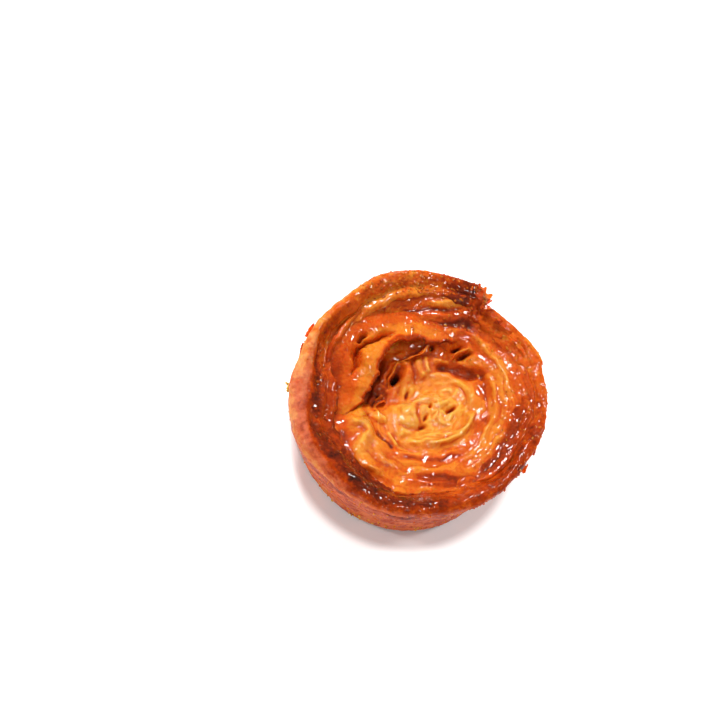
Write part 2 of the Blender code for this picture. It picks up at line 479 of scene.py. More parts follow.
def build_oven_group():
    """Colour, roughness, coat and height of baked dough from bake, caramel and painted shade."""
    tree, entry, leave = new_group(
        "oven_colour",
        [("Bake", "NodeSocketFloat", 0.4), ("Caramel", "NodeSocketFloat", 0.3),
         ("Painted_shade", "NodeSocketFloat", 0.0), ("Place", "NodeSocketVector", None),
         ("Patchiness", "NodeSocketFloat", 0.6), ("Blisters", "NodeSocketFloat", 1.0)],
        [("Color", "NodeSocketColor"), ("Roughness", "NodeSocketFloat"),
         ("Coat", "NodeSocketFloat"), ("Height", "NodeSocketFloat")],
    )
    place, caramel, painted_shade = (entry.outputs[label] for label in ("Place", "Caramel", "Painted_shade"))
    broad = noise_node(tree, place, BROAD_GRAIN, 3.0, 0.55, 0.6)
    fine = noise_node(tree, place, FINE_GRAIN, 3.0, 0.6)
    sandy = noise_node(tree, place, SANDY_GRAIN, 2.0, 0.5)
    patch = math_node(tree, "ADD", off_middle(tree, broad, 0.6), off_middle(tree, fine, 0.9))
    bake = math_node(tree, "MULTIPLY_ADD", patch, entry.outputs["Patchiness"], entry.outputs["Bake"])
    # painted shade: the dough is painted darker where it sits deep
    bake = math_node(tree, "MULTIPLY_ADD", painted_shade, SHADE_BAKE, bake)
    bake = math_node(tree, "MULTIPLY_ADD", caramel, CARAMEL_BAKE, bake, clamp=True)

    # dough without caramel is dry: a little greyer and rougher
    dry = math_node(tree, "MULTIPLY_ADD", caramel, -3.2, 1.0, clamp=True)
    dusty = tree.nodes.new("ShaderNodeHueSaturation")
    tree.links.new(oven_ramp(tree, bake), dusty.inputs["Color"])
    tree.links.new(math_node(tree, "MULTIPLY_ADD", dry, -DRY_GREY, 1.0), dusty.inputs["Saturation"])
    tree.links.new(dusty.outputs[0], leave.inputs["Color"])
    rough = math_node(tree, "MULTIPLY_ADD", caramel, -0.16, 0.34)
    rough = math_node(tree, "MULTIPLY_ADD", dry, DRY_ROUGHNESS, rough)
    rough = math_node(tree, "ADD", off_middle(tree, fine, 0.6), rough)
    tree.links.new(math_node(tree, "MAXIMUM", rough, 0.14), leave.inputs["Roughness"])

    # the glaze is whole where there is much caramel, and breaks up into patches where there is less
    wet = math_node(tree, "MULTIPLY_ADD", caramel, 2.2, math_node(tree, "SUBTRACT", broad, 0.95))
    wet = math_node(tree, "ADD", off_middle(tree, fine, 1.6), wet)
    wet = math_node(tree, "MULTIPLY_ADD", painted_shade, -0.8, wet, clamp=True)
    tree.links.new(wet, leave.inputs["Coat"])

    blisters = blister_height(tree, place, entry.outputs["Blisters"])
    height = math_node(tree, "MULTIPLY_ADD", blisters, 0.7, fine)
    height = math_node(tree, "MULTIPLY_ADD", sandy, 0.25, height)
    tree.links.new(height, leave.inputs["Height"])
    return tree


oven_group = build_oven_group()
print("group", oven_group.name, len(oven_group.nodes), "nodes")

# %% [markdown]
# ## The dough's materials
# Light goes a little way into dough and comes out warmer, so each material has some subsurface
# scattering. The caramel is a clear coat with its own sharp gloss. Values that are the same all
# over a piece are set on the shader itself.

# %% Make a dough material
LIGHT_DEPTH = 0.0018  # metres that light goes into the dough
LIGHT_COLOURS = (1.0, 0.42, 0.14)  # how far each colour goes, as a share of that
WARM_SHEEN = (1.0, 0.55, 0.28, 1.0)
CRUST_RELIEF = 0.0004  # metres


def dough_material(name, patchiness, inside, blisters=0.8, sheen=0.12):
    """Baked dough that reads bake, caramel and painted shade from its mesh."""
    material = bpy.data.materials.new(name)
    material.use_nodes = True
    tree = material.node_tree
    shader = tree.nodes["Principled BSDF"]
    oven = tree.nodes.new("ShaderNodeGroup")
    oven.node_tree = oven_group
    set_inputs(oven, {"Patchiness": patchiness, "Blisters": blisters})
    place = tree.nodes.new("ShaderNodeTexCoord")
    tree.links.new(place.outputs["Object"], oven.inputs["Place"])
    for label in ("Bake", "Caramel", "Painted_shade"):
        reader = tree.nodes.new("ShaderNodeAttribute")
        reader.attribute_name = label.lower()
        tree.links.new(reader.outputs["Fac"], oven.inputs[label])
    relief = tree.nodes.new("ShaderNodeBump")
    set_inputs(relief, {"Distance": CRUST_RELIEF, "Strength": 1.0})
    for source, result, target in ((oven, "Color", shader.inputs["Base Color"]),
                                   (oven, "Roughness", shader.inputs["Roughness"]),
                                   (oven, "Coat", shader.inputs["Coat Weight"]),
                                   (oven, "Height", relief.inputs["Height"]),
                                   (relief, "Normal", shader.inputs["Normal"])):
        tree.links.new(source.outputs[result], target)
    set_inputs(shader, {"Subsurface Weight": inside, "Subsurface Radius": LIGHT_COLOURS,
                        "Subsurface Scale": LIGHT_DEPTH, "IOR": 1.45, "Specular IOR Level": sheen,
                        "Specular Tint": WARM_SHEEN, "Coat Roughness": 0.06, "Coat IOR": 1.46})
    return material


crust_dough = dough_material("outer_crust_dough", 0.30, inside=0.45, blisters=1.0, sheen=0.03)
face_dough = dough_material("inner_turn_dough", 0.22, inside=0.75)
leaf_dough = dough_material("torn_leaf_dough", 0.18, inside=0.80)
thin_dough = dough_material("thin_pleat_dough", 0.15, inside=0.80, blisters=0.5)
print("materials", [m.name for m in (crust_dough, face_dough, leaf_dough, thin_dough)])

# %% [markdown]
# ## The outer turn
# The outermost turn of dough is a cup: a base, a flared wall and a thick lip rolled inwards. Its
# cage is a circle extruded ring by ring and resized, as by hand, up the wall, over the lip and down
# inside. Each ring's number is kept on the cage, so that after a subdivision surface every vertex
# still knows how far along the section it lies.

# %% Extrude the cup's rings
CUP_SIDES = 72
# (radius, height) of each ring, from the middle of the base, out, up, over and in
CUP_PROFILE = (
    (12.0, 0.0), (25.0, 0.0), (34.5, 0.0), (37.0, 1.2),
    (38.0, 6.0), (39.3, 11.0), (40.5, 16.0), (41.7, 21.0), (42.8, 26.0), (43.8, 31.0),
    (44.6, 34.6), (44.7, 37.3), (43.3, 39.1), (41.2, 39.5), (38.6, 38.4), (36.6, 36.2),
    (34.8, 33.8), (32.6, 33.2), (31.6, 30.0), (30.6, 22.0),
)
LIP_START = 9  # the ring where the wall ends and the lip begins
CUP_FLOOR = 16.0  # height of the hidden end of the roll, far below the face


def select_ring(mesh, radius, height):
    """Selects the edges of one ring of the cage."""
    near = 1e-5
    for edge in mesh.edges:
        ends = [mesh.vertices[i].co for i in edge.vertices]
        edge.select = all(
            abs(end.xy.length - radius * MM) < near and abs(end.z - height * MM) < near for end in ends
        )


def build_cup():
    """The outer turn as a fine closed mesh, with no relief yet."""
    start()
    radius, height = CUP_PROFILE[0]
    bpy.ops.mesh.primitive_circle_add(vertices=CUP_SIDES, radius=radius * MM, location=(0, 0, height * MM),
                                      fill_type="NGON")
    cup = bpy.context.object
    for old, new in zip(CUP_PROFILE, CUP_PROFILE[1:]):
        select_ring(cup.data, *old)
        bpy.ops.object.mode_set(mode="EDIT")
        bpy.ops.mesh.select_mode(type="EDGE")
        bpy.ops.mesh.extrude_edges_move(TRANSFORM_OT_translate={"value": (0, 0, (new[1] - old[1]) * MM)})
        grow = new[0] / old[0]
        bpy.ops.transform.resize(value=(grow, grow, 1.0), center_override=(0, 0, new[1] * MM))
        bpy.ops.object.mode_set(mode="OBJECT")
    bpy.ops.object.mode_set(mode="EDIT")
    bpy.ops.mesh.edge_face_add()
    turn_faces_out()
    x, y, z = read_places(cup.data).T
    rings = np.array(CUP_PROFILE)
    misses = (np.hypot(x, y)[:, None] - rings[:, 0]) ** 2 + (z[:, None] - rings[:, 1]) ** 2
    store(cup.data, "ring", misses.argmin(1))
    smooth_levels(cup, 3)
    return cup


cup = build_cup()
print("cup", len(cup.data.vertices), "vertices, rings to", recall(cup.data, "ring").max())

# %% [markdown]
# ## The lip changes shape on its way round
# The roll isn't even. It is thick at the left, where a dull outer shoulder meets a wide dark slope,
# and it thins to a flat edge at the right. Its end is burnt and stands out at the back right, with a
# straight torn stretch beside it. A few values round the circle say where the lip's crest and its
# inner edge are, and each ring of the cup is placed between them.

# %% Plan the lip
NOTCH_START, NOTCH_END = 16.0, 60.0  # degrees: the straight stretch where the outer turn ends
NOTCH_DEPTH = 3.0
TURN_STEP = 1.6  # how much further out the outer turn ends than it begins
SHALLOW_SIDE = -25.0  # degrees: the side where the lip is lowest
TURNS_SINK = 0.6  # how far the lip and all turns sink as the pastry cools
# (angle, mm) pairs round the lip
CREST_RADIUS = ((-165, 41.0), (-130, 40.4), (-90, 41.2), (-45, 42.6), (0, 43.2), (45, 42.6), (90, 42.8),
                (120, 42.7), (140, 42.8), (155, 42.5), (168, 41.8), (180, 41.2))
EDGE_RADIUS = ((-172, 31.6), (-150, 33.2), (-130, 35.2), (-105, 36.8), (-75, 36.6), (-45, 38.6), (0, 40.4),
               (45, 40.4), (75, 40.4), (105, 39.6), (123, 38.9), (133, 38.7), (142, 38.4), (152, 37.6),
               (163, 36.2), (175, 33.0))
# mm by which the lip stands inside or outside its plain outline: it is flattened at the back left
OUTLINE = ((-170, 0.3), (-152, 1.4), (-130, 0.3), (-110, 0.0), (0, 0.0), (60, 0.0), (98, -0.3), (112, -1.3),
           (122, -2.5), (131, -3.9), (141, -4.4), (150, -4.0), (160, -3.6), (169, -2.4), (178, -0.7))
EDGE_DEPTH = ((-165, 6.4), (-130, 6.6), (-90, 6.4), (-50, 4.4), (-15, 1.8), (30, 1.6), (60, 2.0), (90, 2.6),
              (125, 5.0), (165, 6.2))


def notch(angle):
    """1 just before the outer turn's end, 0 away from the straight stretch."""
    share = degrees_past(angle, NOTCH_START) / (NOTCH_END - NOTCH_START)
    shape = ease(share / 0.65) * (1.0 - ease((share - 0.86) / 0.14))
    return np.where(share > 1.0, 0.0, shape)


def outline_change(angle):
    """How far the lip stands out of a true circle, in mm."""
    turn = degrees_past(angle, NOTCH_END) / (360.0 - NOTCH_END + NOTCH_START)
    step = np.where(turn < 1.0, TURN_STEP * (0.5 - turn), 0.0)
    a = np.radians(angle)
    uneven = 0.4 * np.sin(2 * a + 1.1) + 0.5 * np.sin(3 * a + 0.4) + 0.25 * np.sin(7 * a + 2.0)
    uneven = uneven - 0.8 * bump(angle, 105.0, 50.0) - 0.8 * bump(angle, 8.0, 24.0)
    return step + uneven + curve_round(OUTLINE, angle) - NOTCH_DEPTH * notch(angle)


def lip_change(angle):
    """How far the lip is above or below its plane, in mm."""
    a = np.radians(angle)
    uneven = 0.6 * np.sin(2 * a + 2.4) + 0.4 * np.sin(3 * a + 0.2) + 0.3 * np.sin(5 * a + 1.3)
    return uneven - 1.2 * np.cos(a - math.radians(SHALLOW_SIDE)) - 1.8 * notch(angle)


def thickness_of_roll(angle):
    """1 where the lip is a full roll, 0 where it is only a thin edge."""
    return 1.0 - 0.9 * bump(angle, 12.0, 85.0) - 0.35 * bump(angle, 75.0, 40.0)


def lip_wander(angle):
    """How the lip's inner edge wanders in and out, in mm."""
    a = np.radians(angle)
    round_x, round_y = 9.0 * np.cos(a), 9.0 * np.sin(a)
    return 1.1 * noise(round_x, round_y, 0.0, 2.0, 12) + 0.5 * noise(round_x, round_y, 0.0, 0.8, 13)


def lip_rings(angle):
    """Radius and height of every ring of the cup at each angle."""
    crest = curve_round(CREST_RADIUS, angle)
    edge = curve_round(EDGE_RADIUS, angle) + lip_wander(angle)
    depth = curve_round(EDGE_DEPTH, angle)
    full = np.clip(thickness_of_roll(angle), 0.0, 1.0)
    broad = bump(angle, -130.0, 85.0)  # where the lip is one broad roll, with no edge to the wall
    even = np.zeros_like(angle)
    radii = [radius for radius, _ in CUP_PROFILE[:LIP_START + 1]]
    heights = [height for _, height in CUP_PROFILE[:LIP_START + 1]]
    radii += [44.3 + 0.3 * full - 0.1 * broad, 44.6 + 0.2 * full - 0.7 * broad, (44.7 + crest) / 2 + 0.4]
    heights += [34.4 + 0.2 * full - 1.2 * broad, 36.8 + 0.4 * full - 1.1 * broad]
    radii.append(crest)
    heights += [LIP_HEIGHT - 0.9 - 0.5 * broad, LIP_HEIGHT - 0.3 - 0.5 * (1 - full)]
    sloping = bump(angle, -112.0, 75.0)  # where the lip runs down to the face without a ledge
    for share, fall in ((0.38, 0.20), (0.72, 0.62 - 0.07 * sloping), (1.0, 1.0 - 0.14 * sloping)):
        radii.append(crest + (edge - crest) * share)
        heights.append(LIP_HEIGHT - 0.4 - depth * fall)
    radii += [edge - 2.6, edge - 3.4, edge - 4.2]
    heights += [LIP_HEIGHT - depth - 0.9 - 0.9 * sloping, LIP_HEIGHT - depth - 5.0, CUP_FLOOR]
    return np.stack([even + radius for radius in radii]), np.stack([even + height for height in heights])


def along_rings(values, ring):
    """A smooth curve through each vertex's own ring values, read at its ring number."""
    last = len(values) - 1
    first = np.clip(np.floor(ring).astype(int), 0, last - 1)
    t = ring - first
    before, here, there, after = (
        np.take_along_axis(values, np.clip(first + step, 0, last)[None], 0)[0] for step in (-1, 0, 1, 2)
    )
    return 0.5 * (2 * here + (there - before) * t + (2 * before - 5 * here + 4 * there - after) * t ** 2
                  + (3 * here - before - 3 * there + after) * t ** 3)


print("lip edge at the left", curve_round(EDGE_RADIUS, np.array([180.0])).round(1), "mm")

# %% [markdown]
# ## Blisters, wrinkles and crust
# The wall was pressed against a tin, so it has soft upright wrinkles, tears and pale flecks. The
# slope inside the lip carries boiled sugar: round blisters of several sizes on slow lumps. Pushing
# vertices along their normals gives this relief, and the same marks say how baked each place is.

# %% Lay the rings
FRONT_FOOT = 1.5  # mm that the foot of the wall stands out at the front


def lay_rings(mesh):
    """Moves each vertex onto its own ring of wall and lip; returns the places in mm."""
    ring = recall(mesh, "ring")
    x, y, _ = read_places(mesh).T
    radius, angle = polar(x, y)
    radii, heights = lip_rings(angle)
    capped = (ring < 0.01) | (ring > len(CUP_PROFILE) - 1.01)
    radius = np.where(capped, radius, along_rings(radii, ring))
    z = np.where(ring < 0.01, 0.0, along_rings(heights, ring))
    radius = radius + outline_change(angle) * ease(z / 36.0)
    foot = bump(angle, -85.0, 70.0) * (1.0 - ease((z - 2.0) / 14.0)) * ease(ring - 1.0)
    radius = radius + FRONT_FOOT * foot
    z = z + (lip_change(angle) - TURNS_SINK) * ease((z - 24.0) / 12.0)
    a = np.radians(angle)
    places = np.stack([radius * np.cos(a), radius * np.sin(a), z], 1)
    write_places(mesh, places)
    return places


crust_places = lay_rings(cup.data)
print("lip", np.ptp(crust_places, axis=0).round(1), "mm across and high")

# %% Mark the crust
# ring numbers along the section, from the wall over the lip and in
SHOULDER_RING = 10.0
CARAMEL_RING = 12.1
LEDGE_RING = 15.9  # the fold between the slope and the ledge below it
HIDDEN_RING = 17.2  # from here on the roll is out of sight


def crust_marks(places, ring):
    """Where the crust's features lie: masks from 0 to 1, and noises from -1 to 1."""
    x, y, z = places.T
    _, angle = polar(x, y)
    a = np.radians(angle)
    marks = SimpleNamespace(x=x, y=y, z=z, ring=ring, angle=angle, full=thickness_of_roll(angle))
    marks.left = bump(angle, 170.0, 75.0)
    marks.lower_left = bump(angle, -132.0, 70.0)
    marks.right = bump(angle, -30.0, 50.0)
    marks.slope_start = CARAMEL_RING + 1.8 * marks.left
    marks.slope = ease((ring - marks.slope_start + 0.4) / 1.5)
    marks.lip = ease((ring - SHOULDER_RING) / 2.0)
    marks.wall = ease((ring - 3.0) / 1.5) * (1.0 - marks.lip)
    glazed = 0.25 + marks.full * (0.35 + 0.6 * marks.lower_left + 0.3 * bump(angle, 175.0, 40.0))
    marks.sticky = marks.slope * np.clip(glazed, 0.0, 1.0)
    round_x, round_y = np.cos(a) * 40, np.sin(a) * 40
    marks.wrinkle = noise(round_x, round_y, z * 0.22, 3.4, 1)
    marks.tears = np.exp(-(noise(round_x, round_y, z * 0.30, 2.3, 2) / 0.10) ** 2)
    marks.tears = marks.tears * ease(noise(x, y, z, 6.0, 8) * 2.5 + 0.3)
    marks.lumps = layered_noise(x, y, z, 7.0, 2, 3)
    marks.pebble = layered_noise(x, y, z, 1.9, 3, 5)
    marks.big_blisters = domes(x, y, z, 4.4, 1) * ease(noise(x, y, z, 6.0, 6) * 2.0 + 0.4)
    marks.small_blisters = domes(x, y, z, 1.5, 2) * ease(noise(x, y, z, 4.0, 7) * 2.0 + 0.6)
    past_start = ring - marks.slope_start
    marks.crease = np.exp(-((past_start - 0.7 + 0.2 * noise(x, y, z, 5.0, 14)) / 0.50) ** 2)
    marks.crease = marks.crease * bump(angle, 180.0, 45.0)
    marks.inner_roll = np.exp(-((past_start - 2.0) / 0.60) ** 2) * marks.left
    marks.under_lip = np.exp(-((ring - 9.6) / 0.55) ** 2) * bump(angle, -95.0, 45.0)
    marks.dull_strip = marks.lip * (1.0 - marks.slope) * bump(angle, -170.0, 70.0)
    marks.ledge_corner = np.exp(-((ring - LEDGE_RING) / 0.55) ** 2)
    return marks


marks = crust_marks(crust_places, recall(cup.data, "ring"))
print("glazed share of the crust", round(float(marks.sticky.mean()), 2))

# %% Push the relief out
def crust_push(marks):
    """How far each vertex stands out of the plain crust, in mm."""
    x, y, z = marks.x, marks.y, marks.z
    push = marks.wall * (0.25 * marks.wrinkle + 0.40 * marks.lumps - 0.10 * marks.tears)
    push = push + 0.14 * marks.pebble * (1 - 0.8 * marks.sticky)
    push = push - 0.9 * marks.under_lip + marks.lip * 0.30 * marks.lumps
    boiled = 0.60 * marks.lumps + 0.50 * marks.big_blisters + 0.18 * marks.small_blisters
    push = push + marks.sticky * (boiled + 0.35 * layered_noise(x, y, z, 3.2, 1, 18))
    push = push + marks.lip * (1.0 - marks.sticky) * 0.28 * marks.small_blisters - 0.8 * marks.crease
    push = push + marks.inner_roll * (0.5 + 0.6 * layered_noise(x, y, z, 5.0, 2, 15))
    return push * ease(z / 1.5) * (1.0 - 0.85 * marks.ledge_corner)


def raise_crust(mesh, places, push):
    """Moves the vertices out along their normals, and keeps the base flat on the table."""
    places = places + read_normals(mesh) * push[:, None]
    places[:, 2] = np.maximum(places[:, 2], 0.0)
    write_places(mesh, places)


crust_relief = crust_push(marks)
raise_crust(cup.data, crust_places, crust_relief)
print("relief from", crust_relief.min().round(2), "to", crust_relief.max().round(2), "mm")

# %% Bake the crust
# how much more baked a side is: (amount, middle of the side in degrees, degrees to where it ends)
SHOULDER_BAKE = ((0.15, -75.0, 70.0), (0.22, -30.0, 50.0), (0.40, 66.0, 20.0), (0.08, 82.0, 34.0))
SLOPE_BAKE = ((0.10, -90.0, 50.0), (-0.08, 112.0, 40.0), (-0.05, 85.0, 30.0), (0.28, 66.0, 20.0),
              (-0.06, 5.0, 60.0), (0.20, -30.0, 50.0), (0.06, 165.0, 35.0))


def lip_bake(marks):
    """How baked the lip is, over its shoulder and down the slope inside it."""
    ring, angle = marks.ring, marks.angle
    shoulder = 0.42 + sum_of_bumps(SHOULDER_BAKE, angle)
    inner = 0.55 + 0.22 * marks.lower_left ** 0.7 + sum_of_bumps(SLOPE_BAKE, angle)
    # browning_and_shade darkens the roll's inner flank at the left and front left: partly the crust's own
    # browning, partly painted shade of the roll's rounding
    browning_and_shade = (0.12 * ease((ring - 11.6) / 2.2) - 0.05) * marks.left
    browning_and_shade = browning_and_shade + 0.18 * ease((ring - SHOULDER_RING) / 1.8) * marks.lower_left
    # marks.crease also adds painted shade: the crease at the left is painted darker
    bake = shoulder + browning_and_shade + (inner - shoulder - browning_and_shade) * marks.slope + 0.18 * marks.crease
    layers = noise(ring * 1.0, angle / 60.0, 0.0, 0.34, 17)
    bake = bake + 0.03 * layers * marks.dull_strip + 0.05 * marks.lumps
    bake = bake - 0.10 * ease((ring - 14.4) / 1.2) * marks.full * (1 - 0.6 * marks.lower_left)
    bake = bake - 0.03 * bump(angle, 108.0, 42.0) * ease((ring - 15.4) / 0.9)
    return bake + 0.14 * notch(angle) * (1.0 - ease((ring - 11.5) / 1.5))


def wall_bake(marks):
    """How baked the wall is: darker at its foot, and painted darker below the lip at the front left as painted
    shade.
    """
    foot = 1.0 - ease((marks.z - 2.0) / 17.0)
    bake = 0.62 + 0.05 * marks.wrinkle - 0.06 * foot + 0.14 * (1.0 - ease(marks.z / 2.2))
    bake = bake + 0.08 * marks.lumps + 0.04 * marks.tears
    return bake + 0.08 * ease((marks.z - 20.0) / 14.0) * marks.lower_left


def bake_crust(mesh, marks):
    """Keeps the crust's bake, caramel and hollow on its mesh."""
    share = ease((marks.ring - 8.6) / 2.2)
    # under_lip adds painted shade: the top of the wall under the lip at the front is painted darker
    bake = wall_bake(marks) * (1.0 - share) + lip_bake(marks) * share + 0.16 * marks.under_lip
    bake = bake - 0.05 * marks.lip * marks.small_blisters - 0.06 * marks.sticky * marks.big_blisters
    bake = bake - 0.06 * marks.pebble + 0.05 * layered_noise(marks.x, marks.y, marks.z, 2.4, 3, 16)
    caramel = 0.14 + 0.18 * marks.lip + (0.75 - 0.25 * marks.right) * marks.sticky
    caramel = np.clip(caramel - 0.32 * marks.dull_strip - 0.1 * marks.pebble, 0, 1)
    # painted shade on the hidden end of the roll, under the face
    store_oven_numbers(mesh, bake, caramel, 0.5 * ease(marks.ring - HIDDEN_RING))


bake_crust(cup.data, marks)
outer_turn = finish_piece(cup, "outer_turn", crust_dough, (NODE,))

# %% [markdown]
# ## The inner turns
# Inside the lip the dough is a shallow dish of overlapping turns, glazed together. A height on a
# fine disc carries all of it. First comes the plain dish: how deep it is at a few radii, on a few
# sides, with smooth curves between. It is deepest at the left, under the torn leaf.

# %% Plan the dish
DISH_RADII = (0.0, 7.0, 13.0, 18.0, 22.0, 26.0, 30.0, 34.0, 38.0, 43.0)
DISH_DEPTHS = (  # side in degrees, then the depth below the lip at each radius
    (-150, (13.0, 13.0, 12.6, 11.4, 9.4, 8.8, 8.4, 8.2, 7.4, 6.0)),
    (-115, (12.2, 12.0, 11.6, 10.4, 8.6, 7.6, 7.0, 7.2, 6.6, 5.0)),
    (-75, (12.0, 12.0, 11.6, 10.2, 8.8, 7.8, 6.6, 6.2, 5.4, 4.4)),
    (-35, (12.0, 11.8, 11.4, 10.2, 8.2, 6.6, 5.2, 4.6, 3.0, 1.6)),
    (0, (12.0, 12.0, 11.8, 10.6, 8.2, 6.2, 4.8, 3.8, 2.2, 1.2)),
    (38, (13.0, 13.2, 13.2, 12.8, 11.0, 7.6, 5.8, 4.4, 2.6, 1.6)),
    (70, (13.6, 13.8, 13.8, 12.4, 9.8, 8.0, 6.8, 5.4, 3.6, 2.6)),
    (100, (13.6, 14.0, 14.0, 13.6, 12.8, 11.0, 9.2, 6.8, 5.0, 4.0)),
    (140, (13.8, 14.4, 14.4, 14.2, 13.8, 13.0, 12.0, 10.4, 8.4, 6.0)),
    (180, (13.6, 14.2, 14.6, 14.4, 14.0, 13.2, 11.8, 10.2, 8.6, 6.6)),
)


def dish_height(radius, angle):
    """The plain dish, as a height below the lip's plane."""
    rows = [curve_through(list(zip(DISH_RADII, depths)), radius) for _, depths in DISH_DEPTHS]
    sides = [side for side, _ in DISH_DEPTHS] + [DISH_DEPTHS[0][0] + 360]
    rows = np.stack(rows + rows[:1])
    turned = sides[0] + degrees_past(angle, sides[0])
    before = np.clip(np.searchsorted(sides, turned, side="right") - 1, 0, len(sides) - 2)
    sides = np.array(sides, float)
    share = ease((turned - sides[before]) / (sides[before + 1] - sides[before]))
    low_side = np.take_along_axis(rows, before[None], 0)[0]
    high_side = np.take_along_axis(rows, before[None] + 1, 0)[0]
    return -(low_side + (high_side - low_side) * share)


print("dish in the middle", dish_height(np.array([0.0]), np.array([0.0])).round(1), "mm")
